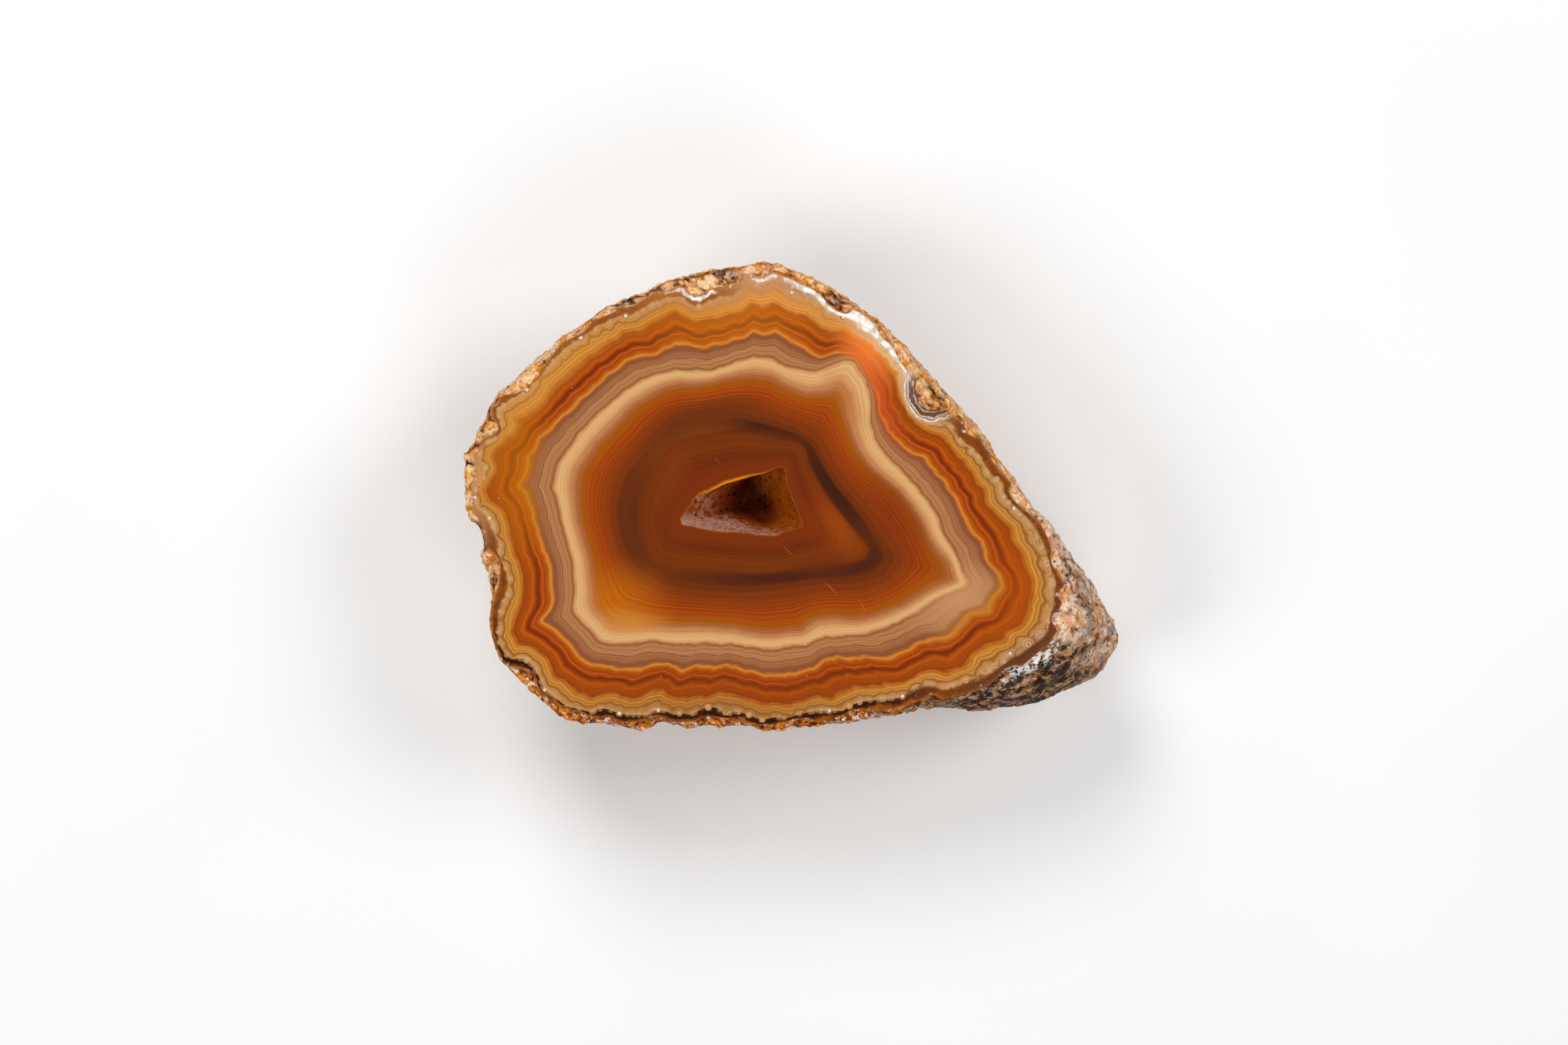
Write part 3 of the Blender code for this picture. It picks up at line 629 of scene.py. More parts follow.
def face_triangles(edge, rim, inner):
    """Triangles between the polished edge and the rim of the hollow, as rows of three point numbers."""
    plan = [Vector(point[:2]) for point in (*edge, *rim, *inner)]
    first = len(edge)
    loops = [(n, (n + 1) % first) for n in range(first)]
    loops += [(first + n, first + (n + 1) % len(rim)) for n in range(len(rim))]
    made, _, faces, origins, _, _ = delaunay_2d_cdt(plan, loops, [], 0, 1e-7)
    number = [origin[0] for origin in origins]
    triangles = np.array([[number[corner] for corner in face] for face in faces])
    middles = np.array([(plan[a] + plan[b] + plan[c]) / 3 for a, b, c in triangles])
    kept = is_inside(middles, edge[:, :2]) & ~is_inside(middles, rim[:, :2])
    return triangles[kept]


def ring_shares(rows):
    """How far down a wall each row lies, from 0 at its top to 1 at its bottom."""
    steps = np.linalg.norm(np.diff(rows, axis=0), axis=2).mean(1)
    length = np.r_[0, np.cumsum(steps)]
    return length / length[-1]


def wall_faces(first, rows, flip):
    """Faces between the rows of a wall and round its last point: vertex numbers, and for each corner its share of
    the way round and down the wall."""
    spokes, last, shares = rows.shape[1], len(rows) - 1, ring_shares(rows)
    faces, corners = [], []
    for ring in range(last):
        top, low = first + ring * spokes, first + (ring + 1) * spokes
        for spoke in range(spokes):
            after, here, there = (spoke + 1) % spokes, spoke / spokes, (spoke + 1) / spokes
            face = [top + spoke, low + spoke, low + after, top + after]
            corner = [(here, shares[ring]), (here, shares[ring + 1]), (there, shares[ring + 1]), (there, shares[ring])]
            if ring == last - 1:
                face = [top + spoke, low, top + after]
                corner = [(here, shares[ring]), ((here + there) / 2, 1), (there, shares[ring])]
            faces.append(face[::-1] if flip else face)
            corners.append(corner[::-1] if flip else corner)
    return faces, corners


def face_map(points, low, scale):
    """Places of face points in the UV map: the face as it lies, from the low corner."""
    return [tuple((np.array(point[:2]) - low) * scale + MAP_EDGE) for point in points]


def rind_map(corners, start):
    """Places of rind corners in the map: a strip above the face."""
    return [(MAP_EDGE + turn * (1 - 2 * MAP_EDGE), start + share * (1 - MAP_EDGE - start)) for turn, share in corners]


def hollow_map(corners, centre, radius):
    """Places of hollow corners in the map: a disc in the free corner beside the face."""
    return [(centre[0] + radius * (1.02 - share) * math.cos(turn * 2 * math.pi),
             centre[1] + radius * (1.02 - share) * math.sin(turn * 2 * math.pi)) for turn, share in corners]


def stone_mesh(node):
    """The whole stone as one closed mesh, with what its materials need to know stored at its points."""
    tree = BVHTree.FromPolygons([v.co / MM for v in node.data.vertices], [p.vertices for p in node.data.polygons])
    loops = [curve_through(points, LINE_STEP, CUSP_ANGLE) for points in GROWTH_LINES[:-1]]
    loops.append(curve_through(HOLLOW_RIM, LINE_STEP, 0))
    centres = orb_centres(loops[1])
    edge = spokes_over(loops[0], HEART, SPOKES)
    rim = points_along(loops[-1], HOLLOW_HEART, HOLLOW_SPOKES)
    rind, crevice = rind_rows(tree, edge)
    hollow = hollow_rows(tree, rim)
    inner = face_points(edge, rim, loops)

    rind_flat = np.vstack([rind[:-1].reshape(-1, 3), rind[-1, :1]])
    hollow_flat = np.vstack([hollow[:-1].reshape(-1, 3), hollow[-1, :1]])
    flat_face = np.c_[inner, np.full(len(inner), FACE_HEIGHT)]
    vertices = np.vstack([rind_flat, hollow_flat, flat_face])

    in_plan = face_triangles(edge, rim, inner)
    number = np.r_[np.arange(SPOKES), len(rind_flat) + np.arange(HOLLOW_SPOKES),
                   len(rind_flat) + len(hollow_flat) + np.arange(len(inner))]
    face_faces = number[in_plan].tolist()
    rind_faces, rind_corners = wall_faces(0, rind, False)
    hollow_faces, hollow_corners = wall_faces(len(rind_flat), hollow, True)

    mesh = bpy.data.meshes.new("agate_stone")
    mesh.from_pydata((vertices * MM).tolist(), [], face_faces + rind_faces + hollow_faces)
    kinds = [0] * len(face_faces) + [1] * len(rind_faces) + [2] * len(hollow_faces)
    mesh.polygons.foreach_set("material_index", kinds)
    mesh.polygons.foreach_set("use_smooth", [True] * len(kinds))

    keep_edges_sharp(mesh, kinds)

    low = edge.min(0)[:2]
    scale = (1 - 2 * MAP_EDGE) / np.ptp(edge[:, 0])
    strip_start = MAP_EDGE * 2 + scale * np.ptp(edge[:, 1])
    places = []
    for face in face_faces:
        places += face_map(vertices[face], low, scale)
    for corners in rind_corners:
        places += rind_map(corners, strip_start)
    for corners in hollow_corners:
        places += hollow_map(corners, HOLLOW_PLACE, HOLLOW_REACH)
    layer = mesh.uv_layers.new(name="OFBake")
    layer.data.foreach_set("uv", np.array(places).ravel())

    nearest_orb, from_orb = nearest_of(vertices[:, :2], centres)
    growth, orb = growth_at(vertices[:, :2], loops, from_orb)
    on_face = np.zeros(len(vertices), bool)
    on_face[number] = True
    from_edge = distance_to(vertices[:len(rind_flat), :2], edge[:, :2])
    store(mesh, "growth", np.where(on_face, growth, 0))
    store(mesh, "orb", np.where(on_face, orb, 0))
    store(mesh, "from_orb", from_orb)
    store(mesh, "orb_kind", np.array([chance(number + 1000) for number in range(len(centres))])[nearest_orb])
    store(mesh, "layer", np.interp(growth, np.arange(1, 10), LINE_DEPTHS) * on_face)
    # How deep each rind point lies in a crevice or pit, for the painted shade that the rind's colour gets there.
    store(mesh, "crevice", np.r_[crevice[:-1].ravel(), 0, np.zeros(len(vertices) - len(rind_flat))])
    store(mesh, "from_edge", np.r_[from_edge, np.zeros(len(vertices) - len(rind_flat))])
    print("stone triangles", sum(len(polygon.vertices) - 2 for polygon in mesh.polygons))
    return mesh


def keep_edges_sharp(mesh, kinds):
    """Marks the edges where the polished face meets the rind and the hollow, so that they shade as edges."""
    seen = {}
    for polygon, kind in zip(mesh.polygons, kinds):
        for key in polygon.edge_keys:
            seen.setdefault(key, set()).add(kind)
    sharp = [len(seen[tuple(sorted(edge.vertices))]) > 1 for edge in mesh.edges]
    mesh.attributes.new("sharp_edge", "BOOLEAN", "EDGE").data.foreach_set("value", sharp)


def store(mesh, name, values):
    """Keeps one number for each point of the mesh under a name that a material can read."""
    attribute = mesh.attributes.new(name, "FLOAT", "POINT")
    attribute.data.foreach_set("value", np.asarray(values, np.float32))


class Graph:
    """The node tree of one material, with short ways to add and join nodes."""

    def __init__(self, name):
        self.material = bpy.data.materials.new(name)
        self.material.use_nodes = True
        self.nodes = self.material.node_tree.nodes
        self.links = self.material.node_tree.links
        self.nodes.clear()
        self.shader = self.nodes.new("ShaderNodeBsdfPrincipled")
        output = self.nodes.new("ShaderNodeOutputMaterial")
        self.links.new(self.shader.outputs[0], output.inputs["Surface"])
        self.place = self.add("ShaderNodeTexCoord").outputs["Object"]

    def add(self, kind, inputs=(), **settings):
        """A node with its settings, and its inputs by name or number: each a number, a colour or another's output."""
        node = self.nodes.new(kind)
        for key, value in settings.items():
            setattr(node, key, value)
        for key, value in dict(inputs).items():
            self.feed(node.inputs[key], value)
        return node

    def feed(self, socket, value):
        if isinstance(value, bpy.types.NodeSocket):
            self.links.new(value, socket)
        else:
            socket.default_value = value

    def finish_with(self, **inputs):
        """Sets the shader's sockets, whose names are written with _ for a space."""
        for key, value in inputs.items():
            self.feed(self.shader.inputs[key.replace("_", " ")], value)
        return self.material

    def stored(self, name):
        return self.add("ShaderNodeAttribute", attribute_name=name).outputs["Fac"]

    def curve(self, value, points):
        """A smooth change of the value through the given points, which run from 0 to 10 across and 0 to 1 up."""
        node = self.add("ShaderNodeFloatCurve", {"Value": self.math("DIVIDE", value, 10.0)})
        line = node.mapping.curves[0]
        line.points[0].location, line.points[1].location = (0, points[0][1]), (1, points[-1][1])
        for across, up in points:
            line.points.new(across / 10, up)
        node.mapping.update()
        return node.outputs[0]

    def math(self, operation, first, second=0.0, third=0.0):
        return self.add("ShaderNodeMath", {0: first, 1: second, 2: third}, operation=operation).outputs[0]

    def between(self, value, low, high, start=0.0, end=1.0):
        """From start at low to end at high, with a smooth change."""
        node = self.add("ShaderNodeMapRange", {"Value": value, "From Min": low, "From Max": high,
                                               "To Min": start, "To Max": end}, interpolation_type="SMOOTHSTEP")
        return node.outputs["Result"]

    def noise(self, size, detail=3.0, rough=0.5, place=None, twist=0.0):
        """Soft noise whose patches are about size mm across, from about 0.2 to 0.8."""
        node = self.add("ShaderNodeTexNoise", {"Vector": place or self.place, "Scale": 1 / (size * MM),
                                               "Detail": detail, "Roughness": rough, "Distortion": twist})
        return node.outputs["Fac"]

    def cells(self, size, feature="F1", place=None):
        node = self.add("ShaderNodeTexVoronoi", {"Vector": place or self.place, "Scale": 1 / (size * MM)},
                        feature=feature)
        return node

    def moved(self, x, y, z):
        """The place, moved so that one kind of noise doesn't repeat another."""
        return self.add("ShaderNodeVectorMath", {0: self.place, 1: (x, y, z)}, operation="ADD").outputs[0]

    def colours(self, value, stops):
        """A colour for each value, from a list of values and colours."""
        node = self.add("ShaderNodeValToRGB", {0: value})
        elements = node.color_ramp.elements
        while len(elements) < len(stops):
            elements.new(0.5)
        for element, (position, colour) in zip(elements, stops):
            element.position = position
        for element, (position, colour) in zip(elements, stops):
            element.color = paint(colour)
        return node.outputs["Color"]

    def mix(self, share, first, second, kind="MIX"):
        node = self.add("ShaderNodeMix", data_type="RGBA", blend_type=kind)
        for number, value in ((0, share), (6, first), (7, second)):
            self.feed(node.inputs[number], paint(value) if isinstance(value, str) else value)
        return node.outputs[2]

    def spot(self, x, y, radius, stretch=(1, 1), turn=0.0):
        """1 at a spot on the face, falling softly to 0 at its radius in mm."""
        moved = self.add("ShaderNodeMapping", {"Vector": self.place, "Location": (x * MM, y * MM, 0),
                                               "Rotation": (0, 0, math.radians(turn)), "Scale": (*stretch, 1e6)},
                         vector_type="TEXTURE")
        length = self.add("ShaderNodeVectorMath", {0: moved.outputs[0]}, operation="LENGTH").outputs["Value"]
        return self.between(length, 0, radius * MM, 1, 0)

    def bump(self, height, strength, distance):
        return self.add("ShaderNodeBump", {"Height": height, "Strength": strength,
                                           "Distance": distance * MM}).outputs["Normal"]


def paint(colour):
    """A colour as the shader takes it, from its usual six-figure name."""
    parts = [int(colour[n:n + 2], 16) / 255 for n in (0, 2, 4)]
    linear = [c / 12.92 if c <= 0.04045 else ((c + 0.055) / 1.055) ** 2.4 for c in parts]
    return (*(max(c * PAINT_STRENGTH - PAINT_LIFT, 0) for c in linear), 1)


def grown(graph):
    """How far the agate had grown, with small orbs inside the orb line and slight unevenness in every line."""
    growth = graph.stored("growth")
    uneven = graph.math("SUBTRACT", graph.noise(2.6, 3.0), 0.5)
    ragged = graph.math("SUBTRACT", graph.noise(0.7, 2.0), 0.5)
    growth = graph.math("MULTIPLY_ADD", uneven, UNEVEN, growth)
    growth = graph.math("MULTIPLY_ADD", ragged, RAGGED, growth)
    from_middle = graph.add("ShaderNodeVectorMath", {0: graph.moved(*(-x * MM for x in MIDDLE))}, operation="NORMALIZE")
    around = graph.add("ShaderNodeVectorMath", {0: from_middle.outputs[0], 3: ARC_REACH}, operation="SCALE").outputs[0]
    for width, depths in ARCS:
        arcs = graph.add("ShaderNodeTexVoronoi", {"Vector": around, "Scale": 1 / width}, voronoi_dimensions="2D")
        bend = graph.math("SUBTRACT", arcs.outputs["Distance"], 0.42)
        growth = graph.math("MULTIPLY_ADD", bend, graph.curve(growth, depths), growth)
    inside = graph.math("GREATER_THAN", growth, 2.0)
    return graph.math("MULTIPLY_ADD", graph.stored("orb"), inside, growth)


def band_colour(graph, growth):
    """The colour of the agate at each stage of its growth, one list of bands after another."""
    colour = None
    for number, bands in enumerate(ZONES, 1):
        share = graph.math("SUBTRACT", growth, float(number))
        zone = graph.colours(share, bands)
        started = graph.math("GREATER_THAN", growth, float(number))
        colour = zone if colour is None else graph.mix(started, colour, zone)
    return colour


def fine_lines(graph, growth):
    """Brightness of the finest growth lines, about 1 on average, where each zone shows them."""
    drift = graph.math("MULTIPLY", graph.math("SUBTRACT", graph.noise(9.0, 1.0), 0.5), 0.5)
    depth = graph.math("ADD", graph.stored("layer"), drift)
    fine = graph.add("ShaderNodeTexNoise", {"W": graph.math("MULTIPLY", depth, 4.6), "Scale": 1.0, "Detail": 3.0,
                                            "Roughness": 0.62}, noise_dimensions="1D").outputs["Fac"]
    strength = graph.math("MULTIPLY", graph.curve(growth, LINE_STRENGTH),
                          graph.between(graph.noise(7.0, 3.0, 0.6, graph.moved(0.05, 0, 0)), 0.4, 0.62, 0.5, 1.45))
    calm = graph.math("SUBTRACT", 1.0, graph.spot(21.0, -13.5, 9.0, (1.2, 0.8), 25))
    lightness = graph.math("MULTIPLY", graph.math("SUBTRACT", fine, 0.5), graph.math("MULTIPLY", strength, calm))
    return graph.math("ADD", graph.math("MULTIPLY", lightness, 2.0), 1.0)


def small_orbs(graph, colour, growth):
    """Rings round the places on the orb line where the agate began to grow, some with a white middle."""
    away = graph.math("MULTIPLY_ADD", graph.math("SUBTRACT", graph.noise(0.5, 2.0), 0.5), 0.16, graph.stored("from_orb"))
    kind = graph.stored("orb_kind")
    reach = graph.math("DIVIDE", away, graph.between(kind, 0.3, 1.0, ORB_RADIUS, ORB_RADIUS * 1.3))
    rings = graph.colours(reach, ORB_RINGS)
    shown = graph.between(reach, 0.8, 1.0, 1.0, 0.0)
    shown = graph.math("MULTIPLY", shown, graph.between(graph.stored("growth"), 1.35, 1.6))
    colour = graph.mix(graph.math("MULTIPLY", shown, graph.between(kind, 0.1, 0.7, 0.35, 0.8)), colour, rings)
    chosen = graph.math("GREATER_THAN", kind, 0.86)
    outline = graph.math("MULTIPLY", graph.between(away, 0.30, 0.40, 0.8, 0.0), chosen)
    colour = graph.mix(outline, colour, "6E4526")
    middle = graph.math("MULTIPLY", graph.between(away, 0.20, 0.28, 0.9, 0.0), chosen)
    return graph.mix(middle, colour, "F0DAC6")


def orb_chain(graph, colour):
    """Larger ringed orbs, one against the next, along the orb line at the right."""
    away = graph.math("DIVIDE", graph.cells(1.7, place=graph.moved(0.001, 0.002, 0)).outputs["Distance"], 0.62)
    growth = graph.stored("growth")
    shown = graph.math("MULTIPLY", graph.between(growth, 1.5, 1.75), graph.between(growth, 2.12, 2.22, 1.0, 0.0))
    shown = graph.math("MULTIPLY", shown, graph.between(graph.spot(31.0, -14.0, 20.0, (0.6, 1.0)), 0.0, 0.25))
    return graph.mix(graph.math("MULTIPLY", shown, 0.75), colour, graph.colours(away, CHAIN_RINGS))


def outer_brown(graph, colour):
    """Clear agate outside the orb line: grainy, and at the bottom amber by the rind and nearly black by the orbs."""
    growth = graph.stored("growth")
    outside = graph.math("LESS_THAN", growth, 2.0)
    x, y, _ = graph.add("ShaderNodeSeparateXYZ", {0: graph.place}).outputs
    low = graph.math("MULTIPLY", graph.between(y, -0.021, -0.012, 0.95, 0.0), graph.between(x, 0.010, 0.022, 1.0, 0.0))
    uneven = graph.math("SUBTRACT", graph.noise(2.2, 4.0, 0.6, graph.moved(0.01, 0, 0)), 0.5)
    clear = graph.colours(graph.math("MULTIPLY_ADD", uneven, 2.2, graph.math("SUBTRACT", growth, 1.0)), CLEAR_COLOURS)
    colour = graph.mix(graph.math("MULTIPLY", outside, low), colour, clear)
    grain = graph.between(graph.noise(0.8, 6.0, 0.72), 0.35, 0.68, 0.62, 1.35)
    grainy = graph.mix(1.0, colour, graph.add("ShaderNodeCombineColor", {0: grain, 1: grain, 2: grain}).outputs[0],
                       "MULTIPLY")
    return graph.mix(graph.math("MULTIPLY", outside, 0.8), colour, grainy)


def tinted(graph, colour, growth):
    """The bands with the soft areas of another tint laid over them."""
    for _, x, y, radius, stretch, turn, start, end, tint, share in TINTS:
        area = graph.spot(x, y, radius, stretch, turn)
        soft = min(0.12, (end - start) / 2)
        begun = graph.between(growth, start - soft, start + soft)
        ended = graph.between(growth, end - soft, end + soft, 1.0, 0.0)
        area = graph.math("MULTIPLY", graph.math("MULTIPLY", area, begun), graph.math("MULTIPLY", ended, share))
        colour = graph.mix(area, colour, tint)
    return colour


def quartz_band(graph, colour):
    """Milky quartz between the rind and the growth lines, thickest at the upper right, clear at its ragged sides."""
    ragged = graph.math("SUBTRACT", graph.noise(1.3, 4.0, 0.6), 0.5)
    growth = graph.math("MULTIPLY_ADD", ragged, 1.1, graph.stored("growth"))
    milky = graph.mix(graph.between(graph.noise(0.9, 5.0, 0.65), 0.38, 0.6), "D6BFAE", "FFFFFF")
    for x, y, radius, stretch, turn, start, end in QUARTZ:
        area = graph.math("MULTIPLY_ADD", ragged, 0.8, graph.spot(x, y, radius, stretch, turn))
        area = graph.between(area, 0.1, 0.32)
        area = graph.math("MULTIPLY", area, graph.between(growth, start - 0.1, start + 0.12))
        area = graph.math("MULTIPLY", area, graph.between(growth, end - 0.22, end + 0.08, 1.0, 0.0))
        colour = graph.mix(area, colour, milky)
    return colour


def ring_eye(graph, colour):
    """A small eye of white and brown rings, cut across by the face, at the right end of the quartz."""
    moved = graph.add("ShaderNodeMapping", {"Vector": graph.place, "Location": (EYE[0] * MM, EYE[1] * MM, 0),
                                            "Scale": (EYE_REACH[0] * MM, EYE_REACH[1] * MM, 1e6)},
                      vector_type="TEXTURE")
    away = graph.add("ShaderNodeVectorMath", {0: moved.outputs[0]}, operation="LENGTH").outputs["Value"]
    away = graph.math("MULTIPLY_ADD", graph.math("SUBTRACT", graph.noise(1.6, 4.0, 0.6), 0.5), 0.32, away)
    lower = graph.between(graph.math("ADD", *graph.add("ShaderNodeSeparateXYZ", {0: moved.outputs[0]}).outputs[:2]),
                          -0.8, 0.2, 1.0, 0.0)
    lower = graph.math("MULTIPLY", lower, graph.between(away, 0.56, 0.66))
    top = graph.between(graph.add("ShaderNodeSeparateXYZ", {0: graph.place}).outputs[2],
                        (FACE_HEIGHT - 3) * MM, (FACE_HEIGHT - 1.5) * MM)
    shown = graph.math("MULTIPLY", graph.math("MULTIPLY", graph.between(away, 1.04, 1.12, 1.0, 0.0), lower), top)
    return graph.mix(graph.math("MULTIPLY", shown, 0.95), colour, graph.colours(away, EYE_RINGS))


def specks(graph, colour):
    """A few bright grains and faint scratches left in the polish."""
    for x, y, length, turn in SCRATCHES:
        colour = graph.mix(graph.math("MULTIPLY", graph.spot(x, y, length, (1, 0.05), turn), 0.35), colour, "E8A878")
    grain = graph.cells(2.3, place=graph.moved(0.003, 0.001, 0))
    chosen = graph.math("GREATER_THAN", graph.add("ShaderNodeSeparateColor", {0: grain.outputs["Color"]}).outputs[0], 0.84)
    dot = graph.math("LESS_THAN", grain.outputs["Distance"], 0.035)
    return graph.mix(graph.math("MULTIPLY", graph.math("MULTIPLY", dot, chosen), 0.6), colour, "F0C890")


def polished_agate():
    graph = Graph("polished_agate")
    growth = grown(graph)
    colour = outer_brown(graph, band_colour(graph, growth))
    colour = small_orbs(graph, orb_chain(graph, tinted(graph, colour, growth)), growth)
    lines = fine_lines(graph, growth)
    colour = graph.mix(1.0, colour, graph.add("ShaderNodeCombineColor", {0: lines, 1: lines, 2: lines}).outputs[0],
                       "MULTIPLY")
    colour = specks(graph, ring_eye(graph, quartz_band(graph, colour)))
    polish = graph.between(graph.noise(0.8, 4.0), 0.3, 0.8, 0.10, 0.17)
    normal = graph.bump(lines, 0.02, 0.05)
    return graph.finish_with(Base_Color=colour, Roughness=polish, IOR=1.54, Normal=normal)


def rind_colour(graph, x, y):
    """Golden and cream grains, with paler and greyer ones and gaps darkened by painted shade on the lower right
    shoulder.
    """
    shoulder = graph.math("MULTIPLY", graph.between(x, 0.018, 0.028), graph.between(y, -0.006, 0.006, 1.0, 0.0))
    colour = graph.mix(shoulder, graph.colours(graph.noise(1.5, 6.0, 0.72), RIND_COLOURS),
                       graph.colours(graph.noise(1.5, 6.0, 0.72, graph.moved(0.02, 0, 0)), SHOULDER_COLOURS))
    tone = graph.add("ShaderNodeSeparateColor", {0: graph.cells(1.1).outputs["Color"]}).outputs
    colour = graph.mix(graph.between(tone[0], 0.6, 0.95, 0.0, 0.55), colour, "FFE8CA")
    colour = graph.mix(graph.between(tone[1], 0.6, 0.9, 0.0, 0.7), colour, "EE8E14")
    colour = graph.mix(graph.between(tone[2], 0.8, 0.95, 0.0, 0.5), colour, "E09A78")
    crumbs = graph.add("ShaderNodeSeparateColor", {0: graph.cells(0.34).outputs["Color"]}).outputs
    colour = graph.mix(graph.between(crumbs[0], 0.6, 1.0, 0.0, 0.5), colour, "FFF2E0")
    colour = graph.mix(graph.between(crumbs[1], 0.75, 1.0, 0.0, 0.6), colour, "9A5216")
    grey = graph.between(graph.noise(4.0, 4.0, 0.6, graph.moved(0.02, 0, 0.01)), 0.52, 0.62, 0.0, 0.75)
    grey = graph.math("MULTIPLY", grey, graph.math("MULTIPLY", shoulder, graph.between(x, 0.034, 0.038)))
    colour = graph.mix(grey, colour, "86807C")
    broad = graph.between(graph.noise(8.0, 4.0, 0.6, graph.moved(0, 0.07, 0)), 0.50, 0.62, 0.0, 0.5)
    below = graph.between(graph.add("ShaderNodeSeparateXYZ", {0: graph.place}).outputs[2], 0.012, 0.024, 1.0, 0.2)
    colour = graph.mix(graph.math("MULTIPLY", broad, below), colour, "A86A3C")
    red = graph.between(graph.noise(3.5, 3.0, 0.5, graph.moved(0, 0.03, 0.02)), 0.68, 0.74, 0.0, 0.7)
    colour = graph.mix(red, colour, "C0502A")
    # Dark gaps between the grains, strongest on the lower right shoulder: painted crevice shade.
    gaps = graph.between(graph.noise(1.1, 6.0, 0.72, graph.moved(0, 0, 0.05)), 0.40, 0.44, 1.0, 0.0)
    gaps = graph.math("MULTIPLY", gaps, graph.math("MULTIPLY_ADD", shoulder, 0.6, 0.3))
    return graph.mix(gaps, colour, "200E08")


def wet_rind(graph, colour, shares):
    """Clear amber, with arched white marks and specks of painted highlight, where the rind meets the lower edge of the
    face.
    """
    near, low = shares
    # crust marks the patch at the lower right where the painted highlights lie thickest.
    crust = graph.math("MULTIPLY", graph.spot(30.5, -20.5, 7.0, (1.3, 0.8), 40), graph.between(near, 0.55, 0.95))
    amber = graph.colours(graph.noise(1.1, 4.0, 0.6, graph.moved(0.01, 0.02, 0)), AMBER_COLOURS)
    colour = graph.mix(graph.math("MULTIPLY", graph.math("MULTIPLY", near, low), 0.95), colour, amber)
    # Arches of painted highlight along the upper sides of the scallops.
    bent = graph.add("ShaderNodeMix", {0: 0.0012, 4: graph.place,
                                       5: graph.add("ShaderNodeTexNoise", {"Scale": 900.0}).outputs["Color"]},
                     data_type="VECTOR").outputs[1]
    arches = graph.add("ShaderNodeTexVoronoi", {"Vector": bent, "Scale": 1 / (2.3 * MM)}, voronoi_dimensions="2D")
    ring = graph.math("ABSOLUTE", graph.math("SUBTRACT", arches.outputs["Distance"], 0.33))
    rise = graph.add("ShaderNodeVectorMath", {0: bent, 1: arches.outputs["Position"]}, operation="SUBTRACT")
    upper = graph.between(graph.add("ShaderNodeSeparateXYZ", {0: rise.outputs[0]}).outputs[1], -0.0002, 0.0003)
    highlight_arch = graph.math("MULTIPLY", graph.between(ring, 0.03, 0.07, 1.0, 0.0), upper)
    highlight_arch = graph.math("MULTIPLY", highlight_arch, graph.between(graph.noise(1.0, 4.0, 0.6), 0.42, 0.52))
    # Specks of painted highlight, thicker in the patch at the lower right.
    specks = graph.math("MULTIPLY_ADD", crust, 0.14, graph.noise(0.7, 4.0, 0.65, graph.moved(0.01, 0.01, 0)))
    specks = graph.between(specks, 0.60, 0.63)
    # Where the painted white highlights lie: arches and specks by the lower edge.
    painted_glints = graph.math("MULTIPLY", graph.math("MULTIPLY", graph.math("MAXIMUM", highlight_arch, specks), near),
                        graph.math("MULTIPLY_ADD", graph.math("MAXIMUM", low, crust), 0.6, 0.35))
    return graph.mix(painted_glints, colour, "FFFAF2")


